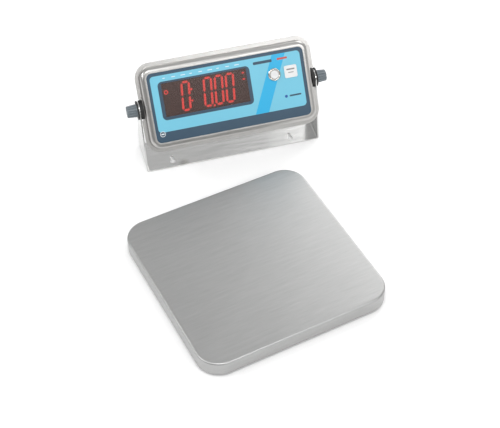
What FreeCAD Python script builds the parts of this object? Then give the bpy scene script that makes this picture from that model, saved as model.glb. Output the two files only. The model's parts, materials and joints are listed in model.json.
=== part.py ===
import FreeCAD, Part
import math
import os
import Sketcher

# Bench scale with a low square weighing platform and a remote LED indicator.
#
# The origin is on the table under the middle of the whole set. +Z is up, +X is to the right
# and +Y runs away from the user, towards the indicator. Sizes are in millimetres.
# Three frames are used. The platform is drawn where it stands. The stand is drawn with the
# point on the table under the middle of its tilt axis as origin. The head is drawn lying on
# its back, with X along the tilt axis, Y up the panel and Z out of the panel.

# ---------------------------------------------------------------- driving dimensions
DIMENSIONS = {
    # weighing platform
    "platter_side": 305.0,        # outer side of the square platter
    "platter_corner": 36.0,       # outer corner radius of the platter
    "platter_sheet": 1.2,         # stainless sheet of the platter
    "platter_bend": 3.2,          # outer bend between top and skirt
    "skirt_drop": 23.0,           # skirt height, top face included
    "foot_rise": 3.0,             # table to underside of the base plate
    "foot_radius": 9.0,
    "foot_stem_radius": 3.0,
    "foot_barb": 1.0,             # barb beyond the stem, and its height
    "foot_inset": 28.0,           # foot centre to the edge of the base
    "base_sheet": 2.5,            # base plate
    "base_rim": 13.0,             # rim height, base plate included
    "base_rim_sheet": 2.0,
    "skirt_gap": 8.0,             # free gap between base rim and skirt
    "spacer_height": 1.5,         # spacers above and below the load cell
    "spacer_length": 28.0,
    "cell_length": 130.0,
    "cell_width": 22.0,
    "cell_height": 12.0,
    "cell_eye_radius": 4.0,       # the two bores of the bending beam
    "cell_eye_pitch": 26.0,
    "cell_slit": 2.4,             # slit that joins the two bores
    "cell_screw_end": 9.0,        # outer screw to the end of the beam
    "cell_screw_pitch": 14.0,
    "cell_screw_radius": 2.5,
    "cell_screw_short": 3.0,      # screw's tip to the beam's far face
    "screw_clearance": 0.2,       # radial gap of a screw in a plain hole
    "cover_depth": 0.8,           # sealed gauge covers on the beam's flanks
    "cover_length": 46.0,
    "cover_inset": 0.5,           # cover to the beam's top and underside
    "spider_sheet": 4.0,
    "spider_bar": 26.0,
    "spider_spine": 46.0,
    "spider_inset": 26.0,         # bar centre to the platter's edge
    "pad_radius": 8.0,
    "stop_gap": 0.8,              # travel that the overload stops leave
    "stop_radius": 2.0,
    "stop_nut_radius": 3.8,
    "stop_nut_thick": 2.6,
    "stop_reach": 80.0,           # stop screw to the platform's middle line
    "screw_head": 5.0,            # head radius of the beam's countersunk screws
    "base_gland_radius": 3.4,     # thread of the platform's cable gland
    "outlet_side": 70.0,          # gland to the middle line
    "outlet_collar": 4.6,
    "outlet_bore": 2.2,
    "outlet_reach": 6.0,
    "outlet_gap": 0.4,            # gland collar to the base plate
    "gland_nut_thick": 2.5,
    "platform_top": 28.0,         # table to the weighing surface
    "platform_x": -53.3,          # middle of the platform
    "platform_y": -103.7,
    # stand of the indicator
    "stand_x": 42.6,              # point under the middle of the tilt axis
    "stand_y": 170.5,
    "stand_turn": -12.0,          # turn of the stand about Z, degrees
    "stand_over": 38.0,           # stand wider than the panel
    "stand_depth": 68.0,
    "stand_sheet": 2.0,
    "stand_bend": 4.0,            # outer bend radius
    "axis_height": 106.8,         # table to tilt axis
    "arm_end_radius": 13.5,
    "keyhole_inset": 46.0,        # keyhole centre to the stand's end
    "keyhole_front": 13.0,        # round end to the front edge
    "keyhole_radius": 4.5,
    "keyhole_slot": 2.3,          # half width of the narrow end
    "keyhole_run": 10.0,
    "head_lean": 34.2,            # panel leans back from upright, degrees
    # head: panel and shells
    "panel_width": 255.2,
    "panel_height": 111.3,
    "panel_corner": 8.0,
    "panel_film": 0.6,
    "panel_reach": 22.0,          # tilt axis to the panel's face
    "film_gap": 0.2,
    "head_sheet": 1.2,
    "face_sheet": 1.6,
    "pan_margin": 10.0,           # panel edge to the pan's side
    "pan_round": 7.6,
    "pan_depth": 13.0,            # panel face to the front of the flange
    "flange_margin": 16.4,        # panel edge to the flange's edge
    "seal_height": 0.8,
    "seal_width": 2.2,
    "rear_margin": 11.5,
    "rear_round": 9.0,
    "head_depth": 54.0,           # panel face to the back
    "notch_gap": 1.5,             # flange to friction disc
    # head: display
    "window_left": 21.0,          # panel edge to the display window
    "window_bottom": 39.4,
    "window_width": 137.9,
    "window_height": 53.6,
    "lens_lip": 4.0,
    "lens_lip_depth": 1.5,
    "lens_gap": 0.1,
    "digit_count": 6.0,
    "digit_pitch": 18.05,
    "digit_width": 17.4,
    "digit_height": 52.0,
    "digit_depth": 7.0,
    "digit_first": 39.9,          # panel edge to the first digit's middle
    "board_thick": 1.6,
    "board_margin": 4.0,
    "main_board_short": 29.2,     # main board narrower than the panel
    "main_board_height": 92.0,
    "main_board_gap": 12.0,       # display board to main board
    "standoff_radius": 3.0,
    "standoff_bore": 1.5,
    "board_edge": 1.0,            # post to the display board's edge
    "display_post_floor": 1.0,    # solid end of a display post beyond its bore
    "display_screw_bite": 4.0,    # thread of a display screw in its post
    "main_post_inset": 4.0,       # post to the main board's edge
    "main_post_bore": 8.0,
    "main_screw_bite": 5.0,
    "pan_head_width": 1.9,        # head radius of a pan-head screw over its shank's
    "pan_head_height": 1.3,       # head height over the shank's radius
    "supply_width": 54.0,
    "supply_depth": 34.0,
    "supply_height": 17.0,
    "supply_x": 40.0,             # panel middle to the supply's left side
    "supply_y": -10.0,
    "strip_width": 30.0,
    "strip_depth": 8.0,
    "strip_height": 9.0,
    "strip_y": -22.0,
    "strip_shift": 8.0,           # inlet to its terminal strip
    "chip_side": 14.0,
    "chip_height": 1.6,
    "chip_x": -7.0,
    "chip_y": 12.0,
    # head: button and key
    "button_left": 203.9,         # panel edge to the button's middle
    "button_bottom": 74.3,
    "button_radius": 10.4,
    "button_rise": 2.4,
    "button_barrel": 8.6,
    "button_barrel_length": 16.0,
    "button_cap": 7.0,
    "button_cap_gap": 0.3,
    "button_travel": 1.5,
    "button_shoulder": 0.96,      # straight edge of the bezel below its slope
    "button_cap_depth": 6.0,      # cap's foot below the panel's face
    "button_cap_edge": 1.0,
    "button_cap_proud": 0.8,      # cap above the bezel
    "button_nut_radius": 12.04,
    "button_nut_thick": 3.0,
    "switch_gap": 0.3,
    "switch_length": 5.0,         # switch behind the bezel's barrel
    "key_left": 231.0,
    "key_bottom": 74.9,
    "key_width": 20.8,
    "key_height": 19.8,
    "key_corner": 2.5,
    "key_rise": 1.3,
    "key_stem": 3.0,
    "key_stem_gap": 0.3,
    "key_travel": 0.6,
    "key_gap": 0.1,
    "key_stem_reach": 1.0,        # stem behind the face sheet
    "key_switch_side": 7.0,
    "key_switch_height": 4.0,
    "key_board_width": 24.0,
    "key_board_height": 34.0,
    "key_post_reach": 12.5,
    # head: posts, screws, outlets
    "post_inset": 11.8,           # post centre to the pan's inner side
    "post_radius": 4.0,
    "post_bore": 1.7,
    "lid_screw_head": 3.4,
    "lid_screw_head_height": 2.2,
    "lid_screw_length": 14.0,
    "lid_seal_thick": 0.6,
    "lid_seal_rim": 0.6,          # seal beyond the screw's head
    "gland_left": 52.0,           # panel edge to the head's cable gland
    "gland_bottom": 14.0,
    "gland_thread": 6.0,
    "outlet_inside": 5.0,         # thread inside the shell
    "outlet_hex_rim": 3.0,        # thread to a corner of the outer hexagon
    "outlet_dome_rim": 1.6,
    "outlet_dome_tip": 0.8,       # tip radius over the thread's
    "outlet_nut_rim": 2.4,
    "outlet_nut_thick": 3.0,
    "gland_reach": 17.0,
    "gland_bore": 3.0,
    "inlet_left": 86.0,
    "inlet_thread": 5.5,
    "inlet_bore": 2.8,
    # tilt clamps
    "disc_radius": 15.5,
    "disc_gap": 0.3,
    "washer_radius": 15.3,
    "washer_thick": 1.8,
    "stud_radius": 3.0,
    "stud_gap": 0.05,
    "stud_grip": 12.0,
    "insert_barrel": 4.5,
    "insert_flange": 6.5,
    "insert_flange_thick": 2.0,
    "insert_length": 15.0,
    "knob_base": 10.6,
    "knob_tip": 9.4,
    "knob_length": 16.5,
    "knob_bore_depth": 9.9,
    "knob_edge": 1.4,
    "knob_flutes": 14.0,
    "knob_flute_depth": 0.9,
    "knob_flute_out": 0.6,        # flute's centre outside the knob's base
    "knob_flute_start": 1.5,
}


class Size:
    """A dimension with its value and the spreadsheet expression that gives it."""

    def __init__(self, value, text):
        self.value = float(value)
        self.text = text

    def __add__(self, other):
        other = asSize(other)
        return Size(self.value + other.value, f"({self.text} + {other.text})")

    def __sub__(self, other):
        other = asSize(other)
        return Size(self.value - other.value, f"({self.text} - {other.text})")

    def __mul__(self, other):
        other = asSize(other)
        return Size(self.value * other.value, f"({self.text} * {other.text})")

    def __truediv__(self, other):
        other = asSize(other)
        return Size(self.value / other.value, f"({self.text} / {other.text})")

    def __rsub__(self, other):
        return asSize(other) - self

    def __neg__(self):
        return Size(-self.value, f"(0 - {self.text})")

    def __float__(self):
        return self.value

    __radd__ = __add__
    __rmul__ = __mul__


def asSize(number):
    if isinstance(number, Size):
        return number
    return Size(number, repr(float(number)))


document = FreeCAD.newDocument("BenchScale")
sheet = document.addObject("Spreadsheet::Sheet", "Sizes")
for row, (alias, number) in enumerate(DIMENSIONS.items(), start=1):
    sheet.set(f"A{row}", alias)
    sheet.set(f"B{row}", str(number))
    sheet.setAlias(f"B{row}", alias)
document.recompute()


def size(alias):
    return Size(sheet.get(alias), f"Sizes.{alias}")


class Sizes:
    """Every driving dimension by its name, such as dim.platter_side."""


dim = Sizes()
for alias in DIMENSIONS:
    setattr(dim, alias, size(alias))


# ---------------------------------------------------------------- building blocks
def bind(thing, prop, number):
    """Sets a property from a size and binds it to the spreadsheet."""
    thing.setExpression(prop, asSize(number).text)


def newBody(label):
    body = document.addObject("PartDesign::Body", label)
    body.Label = label
    return body


def originPlane(body, role):
    for feature in body.Origin.OriginFeatures:
        if feature.Role == role:
            return feature
    raise ValueError(role)


def newSketch(body, name, at=(0, 0, 0), role="XY_Plane"):
    """An empty sketch on one of the body's own planes, moved by (across, up, out)."""
    sketch = body.newObject("Sketcher::SketchObject", f"{body.Name}_{name}")
    sketch.AttachmentSupport = [(originPlane(body, role), "")]
    sketch.MapMode = "FlatFace"
    for axis, number in zip("xyz", at):
        bind(sketch, f"AttachmentOffset.Base.{axis}", number)
    return sketch


def drive(sketch, kind, *args):
    """Adds a dimension whose last argument is a size, bound to the spreadsheet."""
    number = asSize(args[-1])
    index = sketch.addConstraint(Sketcher.Constraint(kind, *args[:-1], number.value))
    sketch.setExpression(f"Constraints[{index}]", number.text)


def drawCircle(sketch, radius, at=(0, 0)):
    x, y = (asSize(number) for number in at)
    centre = FreeCAD.Vector(x.value, y.value, 0)
    normal = FreeCAD.Vector(0, 0, 1)
    circle = sketch.addGeometry(Part.Circle(centre, normal, asSize(radius).value), False)
    drive(sketch, "Radius", circle, radius)
    if x.value == 0 and y.value == 0:
        sketch.addConstraint(Sketcher.Constraint("Coincident", circle, 3, -1, 1))
        return circle
    drive(sketch, "DistanceX", -1, 1, circle, 3, x)
    drive(sketch, "DistanceY", -1, 1, circle, 3, y)
    return circle


def drawPolygon(sketch, points):
    """Straight outline through points given as sizes; a flat edge stays flat."""
    corners = [(asSize(x), asSize(y)) for x, y in points]
    count = len(corners)
    first = sketch.GeometryCount
    for index, (x, y) in enumerate(corners):
        nextX, nextY = corners[(index + 1) % count]
        start = FreeCAD.Vector(x.value, y.value, 0)
        end = FreeCAD.Vector(nextX.value, nextY.value, 0)
        sketch.addGeometry(Part.LineSegment(start, end), False)
    for index, (x, y) in enumerate(corners):
        line = first + index
        following = first + (index + 1) % count
        sketch.addConstraint(Sketcher.Constraint("Coincident", line, 2, following, 1))
        drive(sketch, "DistanceX", -1, 1, line, 1, x)
        drive(sketch, "DistanceY", -1, 1, line, 1, y)


def drawRectangle(sketch, width, height, radius=None):
    """Rectangle about the sketch's origin, with rounded corners if a radius is given."""
    halfX = asSize(width).value / 2
    halfY = asSize(height).value / 2
    turn = 0.0 if radius is None else asSize(radius).value
    first = sketch.GeometryCount
    sides = [
        ((-halfX + turn, halfY), (halfX - turn, halfY)),
        ((halfX, halfY - turn), (halfX, -halfY + turn)),
        ((halfX - turn, -halfY), (-halfX + turn, -halfY)),
        ((-halfX, -halfY + turn), (-halfX, halfY - turn)),
    ]
    for start, end in sides:
        line = Part.LineSegment(FreeCAD.Vector(*start, 0), FreeCAD.Vector(*end, 0))
        sketch.addGeometry(line, False)
    top, right, bottom, left = range(first, first + 4)
    if radius is None:
        for line, following in ((top, right), (right, bottom), (bottom, left), (left, top)):
            sketch.addConstraint(Sketcher.Constraint("Coincident", line, 2, following, 1))
        sketch.addConstraint(Sketcher.Constraint("Symmetric", top, 1, bottom, 1, -1, 1))
    else:
        arcs = []
        centres = [(halfX - turn, halfY - turn), (halfX - turn, turn - halfY),
                   (turn - halfX, turn - halfY), (turn - halfX, halfY - turn)]
        quarters = [(0, 90), (-90, 0), (180, 270), (90, 180)]
        for centre, (start, end) in zip(centres, quarters):
            circle = Part.Circle(FreeCAD.Vector(*centre, 0), FreeCAD.Vector(0, 0, 1), turn)
            arc = Part.ArcOfCircle(circle, math.radians(start), math.radians(end))
            arcs.append(sketch.addGeometry(arc, False))
        joints = [(top, arcs[0], right), (right, arcs[1], bottom),
                  (bottom, arcs[2], left), (left, arcs[3], top)]
        for line, arc, following in joints:
            sketch.addConstraint(Sketcher.Constraint("Tangent", line, 2, arc, 2))
            sketch.addConstraint(Sketcher.Constraint("Tangent", arc, 1, following, 1))
        for arc in arcs[1:]:
            sketch.addConstraint(Sketcher.Constraint("Equal", arcs[0], arc))
        drive(sketch, "Radius", arcs[0], radius)
        sketch.addConstraint(Sketcher.Constraint("Symmetric", arcs[0], 3, arcs[2], 3, -1, 1))
    for line in (top, bottom):
        sketch.addConstraint(Sketcher.Constraint("Horizontal", line))
    for line in (left, right):
        sketch.addConstraint(Sketcher.Constraint("Vertical", line))
    drive(sketch, "DistanceX", left, 1, right, 1, width)
    drive(sketch, "DistanceY", bottom, 1, top, 1, height)


def pad(body, sketch, length, name="pad"):
    feature = body.newObject("PartDesign::Pad", f"{body.Name}_{name}")
    feature.Profile = sketch
    bind(feature, "Length", length)
    document.recompute()
    return feature


def pocket(body, sketch, depth, name="pocket", upwards=False):
    """Cuts away from the sketch against its normal, or along it if upwards is set."""
    before = body.Shape.Volume
    feature = body.newObject("PartDesign::Pocket", f"{body.Name}_{name}")
    feature.Profile = sketch
    feature.Reversed = upwards
    bind(feature, "Length", depth)
    document.recompute()
    if body.Shape.Volume > before - 1e-3:
        raise RuntimeError(f"{feature.Name} cuts nothing")
    return feature


def roundEdges(body, base, radius, wanted, kind="Fillet"):
    """Fillets or chamfers every edge of the base feature that the test picks."""
    names = [f"Edge{index}" for index, edge in enumerate(base.Shape.Edges, start=1) if wanted(edge)]
    if not names:
        raise RuntimeError(f"{body.Name} has no edge to round")
    feature = body.newObject(f"PartDesign::{kind}", f"{body.Name}_{kind}")
    feature.Base = (base, names)
    bind(feature, "Radius" if kind == "Fillet" else "Size", radius)
    document.recompute()
    return feature


def flatAt(level, tolerance=1e-4):
    """Test for edges that lie in the plane at this height."""
    height = asSize(level).value

    def wanted(edge):
        box = edge.BoundBox
        return abs(box.ZMin - height) < tolerance and abs(box.ZMax - height) < tolerance
    return wanted


def plate(label, width, height, thick, low, radius=None, at=(0, 0)):
    """A flat plate, drawn about a centre, from a level upwards."""
    body = newBody(label)
    outline = newSketch(body, "outline", (at[0], at[1], low))
    drawRectangle(outline, width, height, radius)
    pad(body, outline, thick)
    return body


def disc(label, radius, thick, low, at=(0, 0), bore=None):
    """A round piece with its axis along Z, with a bore if one is given."""
    body = newBody(label)
    outline = newSketch(body, "outline", (at[0], at[1], low))
    drawCircle(outline, radius)
    if bore is not None:
        drawCircle(outline, bore)
    pad(body, outline, thick)
    return body


def drill(body, radius, at, low, depth, name):
    """A round hole from a level upwards."""
    hole = newSketch(body, name, (at[0], at[1], low))
    drawCircle(hole, radius)
    return pocket(body, hole, depth, f"{name}_cut", upwards=True)


def turned(label, profile):
    """A revolved piece: profile points are (radius, height) about the Z axis."""
    body = newBody(label)
    outline = newSketch(body, "profile", role="XZ_Plane")
    drawPolygon(outline, profile)
    feature = body.newObject("PartDesign::Revolution", f"{label}_turn")
    feature.Profile = outline
    feature.ReferenceAxis = (outline, ["V_Axis"])
    feature.Angle = 360
    document.recompute()
    return body


def cylinder(name, radius, height, at=(0, 0, 0), lie=None):
    """A Part cylinder, standing on Z or lying along +X or -X."""
    shape = document.addObject("Part::Cylinder", name)
    bind(shape, "Radius", radius)
    bind(shape, "Height", height)
    for axis, number in zip("xyz", at):
        bind(shape, f"Placement.Base.{axis}", number)
    if lie is not None:
        bind(shape, "Placement.Rotation.Axis.y", 1)
        bind(shape, "Placement.Rotation.Axis.z", 0)
        bind(shape, "Placement.Rotation.Angle", lie)
    return shape


def box(name, sizes, at):
    """A Part box with its low corner at a point."""
    shape = document.addObject("Part::Box", name)
    for prop, number in zip(("Length", "Width", "Height"), sizes):
        bind(shape, prop, number)
    for axis, number in zip("xyz", at):
        bind(shape, f"Placement.Base.{axis}", number)
    return shape


def cut(name, base, tool):
    result = document.addObject("Part::Cut", name)
    result.Base = base
    result.Tool = tool
    return result


def fuse(name, shapes):
    result = document.addObject("Part::MultiFuse", name)
    result.Shapes = shapes
    return result


def group(label, shapes):
    """Identical pieces that share a node, kept as separate solids."""
    result = document.addObject("Part::Compound", label)
    result.Label = label
    result.Links = shapes
    return result


def corners(x, y):
    """The four mirror images of a point."""
    return [(x, y), (-x, y), (-x, -y), (x, -y)]


# ---------------------------------------------------------------- shared levels and places
platterInside = dim.platform_top - dim.platter_sheet
skirtBottom = dim.platform_top - dim.skirt_drop
baseTop = dim.foot_rise + dim.base_sheet
baseSide = dim.platter_side - dim.platter_sheet * 2 - dim.skirt_gap * 2
baseCorner = dim.platter_corner - dim.platter_sheet - dim.skirt_gap
outletLevel = baseTop + dim.outlet_collar + dim.outlet_gap
cellLow = baseTop + dim.spacer_height
cellTop = cellLow + dim.cell_height
spiderLow = cellTop + dim.spacer_height
spiderTop = spiderLow + dim.spider_sheet
spiderReach = dim.platter_side / 2 - dim.spider_inset
footReach = baseSide / 2 - dim.foot_inset
cellEnd = dim.cell_length / 2 - dim.cell_screw_end
cellNear = cellEnd - dim.cell_screw_pitch
spacerMiddle = dim.cell_length / 2 - dim.spacer_length / 2

faceLevel = dim.panel_reach
filmLow = faceLevel - dim.panel_film
faceInside = filmLow - dim.face_sheet
flangeFront = faceLevel - dim.pan_depth
flangeBack = flangeFront - dim.head_sheet
sealBack = flangeBack - dim.seal_height
rearFlangeBack = sealBack - dim.head_sheet
backLevel = faceLevel - dim.head_depth
backInside = backLevel + dim.head_sheet
lensLipLow = faceInside - dim.lens_lip_depth
displayBoardTop = lensLipLow - dim.lens_gap - dim.digit_depth
displayBoardLow = displayBoardTop - dim.board_thick
mainBoardTop = displayBoardLow - dim.main_board_gap
mainBoardLow = mainBoardTop - dim.board_thick
windowX = dim.window_left + dim.window_width / 2 - dim.panel_width / 2
windowY = dim.window_bottom + dim.window_height / 2 - dim.panel_height / 2
buttonX = dim.button_left - dim.panel_width / 2
buttonY = dim.button_bottom - dim.panel_height / 2
keyX = dim.key_left - dim.panel_width / 2
keyY = dim.key_bottom - dim.panel_height / 2
postX = dim.panel_width / 2 + dim.pan_margin - dim.head_sheet - dim.post_inset
postY = dim.panel_height / 2 + dim.pan_margin - dim.head_sheet - dim.post_inset
glandX = dim.gland_left - dim.panel_width / 2
glandY = dim.gland_bottom - dim.panel_height / 2
inletX = dim.inlet_left - dim.panel_width / 2
rearSide = dim.panel_width / 2 + dim.rear_margin
standWidth = dim.panel_width + dim.stand_over
armInside = standWidth / 2 - dim.stand_sheet
armOutside = standWidth / 2

# ---------------------------------------------------------------- frames
nodes = []
across = FreeCAD.Vector(1, 0, 0)
upward = FreeCAD.Vector(0, 0, 1)
platformFrame = FreeCAD.Placement(
    FreeCAD.Vector(dim.platform_x.value, dim.platform_y.value, 0), FreeCAD.Rotation())
standFrame = FreeCAD.Placement(
    FreeCAD.Vector(dim.stand_x.value, dim.stand_y.value, 0),
    FreeCAD.Rotation(upward, dim.stand_turn.value),
)
headFrame = standFrame * FreeCAD.Placement(
    FreeCAD.Vector(0, 0, dim.axis_height.value),
    FreeCAD.Rotation(across, 90 - dim.head_lean.value),
)


def sideFrame(side):
    """Frame on the tilt axis whose Z points out of the head, to the right for 1, left for -1."""
    return headFrame * FreeCAD.Placement(
        FreeCAD.Vector(), FreeCAD.Rotation(FreeCAD.Vector(0, 1, 0), 90 * side))


def keep(piece, frame=platformFrame):
    """Lists a finished piece and puts it where it belongs."""
    piece.Placement = frame
    nodes.append(piece)


# ---------------------------------------------------------------- platform
def makePlatter():
    body = newBody("platter")
    outline = newSketch(body, "outline", (0, 0, skirtBottom))
    drawRectangle(outline, dim.platter_side, dim.platter_side, dim.platter_corner)
    block = pad(body, outline, dim.skirt_drop)
    roundEdges(body, block, dim.platter_bend, flatAt(dim.platform_top))
    inside = dim.platter_side - dim.platter_sheet * 2
    hollow = newSketch(body, "hollow", (0, 0, skirtBottom))
    drawRectangle(hollow, inside, inside, dim.platter_corner - dim.platter_sheet)
    shell = pocket(body, hollow, dim.skirt_drop - dim.platter_sheet, "hollow_cut", upwards=True)
    roundEdges(body, shell, dim.platter_bend - dim.platter_sheet, flatAt(platterInside))
    keep(body)


def makeBasePan():
    body = newBody("base_pan")
    outline = newSketch(body, "outline", (0, 0, dim.foot_rise))
    drawRectangle(outline, baseSide, baseSide, baseCorner)
    pad(body, outline, dim.base_rim)
    inside = baseSide - dim.base_rim_sheet * 2
    tray = newSketch(body, "tray", (0, 0, baseTop))
    drawRectangle(tray, inside, inside, baseCorner - dim.base_rim_sheet)
    pocket(body, tray, dim.base_rim - dim.base_sheet, "tray_cut", upwards=True)
    for index, place in enumerate(corners(footReach, footReach)):
        drill(body, dim.foot_stem_radius, place, dim.foot_rise, dim.base_sheet, f"foot{index}")
    for index, place in enumerate(corners(dim.stop_reach, spiderReach)):
        drill(body, dim.stop_radius, place, dim.foot_rise, dim.base_sheet, f"stop{index}")
    for index, reach in enumerate((cellEnd, cellNear)):
        hole = drill(body, dim.cell_screw_radius + dim.screw_clearance, (0, -reach),
                     dim.foot_rise, dim.base_sheet, f"cell{index}")
        sinkHole(body, hole, dim.foot_rise, -reach)
    outlet = newSketch(body, "outlet", (dim.outlet_side, outletLevel, -baseSide / 2), "XZ_Plane")
    drawCircle(outlet, dim.base_gland_radius)
    pocket(body, outlet, dim.base_rim_sheet * 2, "outlet_cut", upwards=True)
    keep(body)


def sinkHole(body, hole, level, y):
    """Countersinks the screw hole on the Y axis at this level."""
    height = asSize(level).value
    middle = asSize(y).value

    def wanted(edge):
        box = edge.BoundBox
        flat = abs(box.ZMin - height) < 1e-4 and abs(box.ZMax - height) < 1e-4
        return flat and abs(box.Center.x) < 0.01 and abs(box.Center.y - middle) < 0.01
    depth = dim.screw_head - dim.cell_screw_radius - dim.screw_clearance
    roundEdges(body, hole, depth, wanted, "Chamfer")


def makeFeet():
    feet = []
    for index, (x, y) in enumerate(corners(footReach, footReach)):
        tread = cylinder(f"foot_pad{index}", dim.foot_radius, dim.foot_rise, (x, y, 0))
        stem = cylinder(f"foot_stem{index}", dim.foot_stem_radius, dim.base_sheet,
                        (x, y, dim.foot_rise))
        barb = cylinder(f"foot_barb{index}", dim.foot_stem_radius + dim.foot_barb, dim.foot_barb,
                        (x, y, baseTop))
        feet.append(fuse(f"foot{index}", [tread, stem, barb]))
    keep(group("rubber_feet", feet))


def makeLoadCell():
    body = newBody("load_cell")
    outline = newSketch(body, "outline", (0, 0, cellLow))
    drawRectangle(outline, dim.cell_width, dim.cell_length)
    pad(body, outline, dim.cell_height)
    middle = cellLow + dim.cell_height / 2
    half = dim.cell_width / 2
    for index, side in enumerate((-1, 1)):
        eye = newSketch(body, f"eye{index}", (dim.cell_eye_pitch / 2 * side, middle, -half), "YZ_Plane")
        drawCircle(eye, dim.cell_eye_radius)
        pocket(body, eye, dim.cell_width, f"eye_cut{index}", upwards=True)
    slit = newSketch(body, "slit", (0, middle, -half), "YZ_Plane")
    drawRectangle(slit, dim.cell_eye_pitch, dim.cell_slit)
    pocket(body, slit, dim.cell_width, "slit_cut", upwards=True)
    for index, reach in enumerate((-cellEnd, -cellNear, cellNear, cellEnd)):
        drill(body, dim.cell_screw_radius, (0, reach), cellLow, dim.cell_height, f"tap{index}")
    keep(body)


def makeSpacer(label, side, low):
    body = plate(label, dim.cell_width, dim.spacer_length, dim.spacer_height, low,
                 at=(0, spacerMiddle * side))
    for index, reach in enumerate((cellEnd, cellNear)):
        drill(body, dim.cell_screw_radius + dim.screw_clearance, (0, reach * side),
              low, dim.spacer_height, f"hole{index}")
    keep(body)


def makeCellScrews(label, side, headLevel, direction):
    """Two countersunk screws that run from a head level up (1) or down (-1)."""
    screws = []
    thread = dim.base_sheet + dim.spacer_height + dim.cell_height - dim.cell_screw_short
    if direction < 0:
        thread = dim.spider_sheet + dim.spacer_height + dim.cell_height - dim.cell_screw_short
    for index, reach in enumerate((cellEnd, cellNear)):
        shank = cylinder(f"{label}_shank{index}", dim.cell_screw_radius, thread,
                         (0, reach * side, headLevel if direction > 0 else headLevel - thread))
        head = document.addObject("Part::Cone", f"{label}_head{index}")
        wide = dim.screw_head - dim.screw_clearance
        bind(head, "Radius1", wide if direction > 0 else dim.cell_screw_radius)
        bind(head, "Radius2", dim.cell_screw_radius if direction > 0 else wide)
        bind(head, "Height", wide - dim.cell_screw_radius)
        bind(head, "Placement.Base.y", reach * side)
        low = headLevel if direction > 0 else headLevel - (wide - dim.cell_screw_radius)
        bind(head, "Placement.Base.z", low)
        screws.append(fuse(f"{label}{index}", [shank, head]))
    keep(group(label, screws))


def makeGaugeCovers():
    covers = []
    for index, side in enumerate((-1, 1)):
        x = dim.cell_width / 2 if side > 0 else -dim.cell_width / 2 - dim.cover_depth
        covers.append(box(f"gauge_cover{index}",
                          (dim.cover_depth, dim.cover_length, dim.cell_height - dim.cover_inset * 2),
                          (x, -dim.cover_length / 2, cellLow + dim.cover_inset)))
    keep(group("gauge_covers", covers))


def makeSpider():
    body = newBody("spider")
    length = spiderReach * 2 + dim.spider_bar
    for index, side in enumerate((-1, 1)):
        bar = newSketch(body, f"bar{index}", (0, spiderReach * side, spiderLow))
        drawRectangle(bar, length, dim.spider_bar, dim.spider_bar / 3)
        pad(body, bar, dim.spider_sheet, f"bar_pad{index}")
        if index == 0:
            spine = newSketch(body, "spine", (0, 0, spiderLow))
            drawRectangle(spine, dim.spider_spine, spiderReach * 2)
            pad(body, spine, dim.spider_sheet, "spine_pad")
    for index, reach in enumerate((cellEnd, cellNear)):
        hole = drill(body, dim.cell_screw_radius + dim.screw_clearance, (0, reach),
                     spiderLow, dim.spider_sheet, f"hole{index}")
        sinkHole(body, hole, spiderTop, reach)
    keep(body)


def makePlatterPads():
    pads = [cylinder(f"platter_pad{index}", dim.pad_radius, platterInside - spiderTop,
                     (x, y, spiderTop))
            for index, (x, y) in enumerate(corners(spiderReach, spiderReach))]
    keep(group("platter_pads", pads))


def makeStops():
    screws = []
    nuts = []
    top = spiderLow - dim.stop_gap
    for index, (x, y) in enumerate(corners(dim.stop_reach, spiderReach)):
        screws.append(cylinder(f"stop_screw{index}", dim.stop_radius, top - dim.foot_rise,
                               (x, y, dim.foot_rise)))
        nuts.append(hexRing(f"stop_nut{index}", dim.stop_nut_radius, dim.stop_radius,
                            dim.stop_nut_thick, (x, y, baseTop)))
    keep(group("overload_stops", screws))
    keep(group("stop_nuts", nuts))


def hexRing(name, radius, bore, thick, at):
    """A hexagon nut, its corner radius given, with a round bore."""
    prism = document.addObject("Part::Prism", f"{name}_hex")
    prism.Polygon = 6
    bind(prism, "Circumradius", radius)
    bind(prism, "Height", thick)
    for axis, number in zip("xyz", at):
        bind(prism, f"Placement.Base.{axis}", number)
    return cut(name, prism, cylinder(f"{name}_bore", bore, thick, at))


def makePlatformGland():
    """Cable gland in the rear rim of the base, with its lock nut inside the rim."""
    level = outletLevel
    inner = baseSide / 2 - dim.base_rim_sheet
    lengths = (dim.base_rim_sheet + dim.gland_nut_thick, dim.outlet_reach)
    thread = cylinder("outlet_thread", dim.base_gland_radius, lengths[0] + lengths[1],
                      (dim.outlet_side, inner - dim.gland_nut_thick, level))
    collar = cylinder("outlet_collar", dim.outlet_collar, dim.outlet_reach / 2,
                      (dim.outlet_side, baseSide / 2, level))
    bore = cylinder("outlet_bore", dim.outlet_bore, lengths[0] + lengths[1],
                    (dim.outlet_side, inner - dim.gland_nut_thick, level))
    nut = cylinder("outlet_nut_body", dim.outlet_collar, dim.gland_nut_thick,
                   (dim.outlet_side, inner - dim.gland_nut_thick, level))
    hole = cylinder("outlet_nut_hole", dim.base_gland_radius, dim.gland_nut_thick,
                    (dim.outlet_side, inner - dim.gland_nut_thick, level))
    for shape in (thread, collar, bore, nut, hole):
        shape.Placement.Rotation = FreeCAD.Rotation(across, -90)
    gland = cut("platform_gland", fuse("outlet_body", [thread, collar]), bore)
    keep(gland)
    keep(cut("platform_gland_nut", nut, hole))


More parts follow.
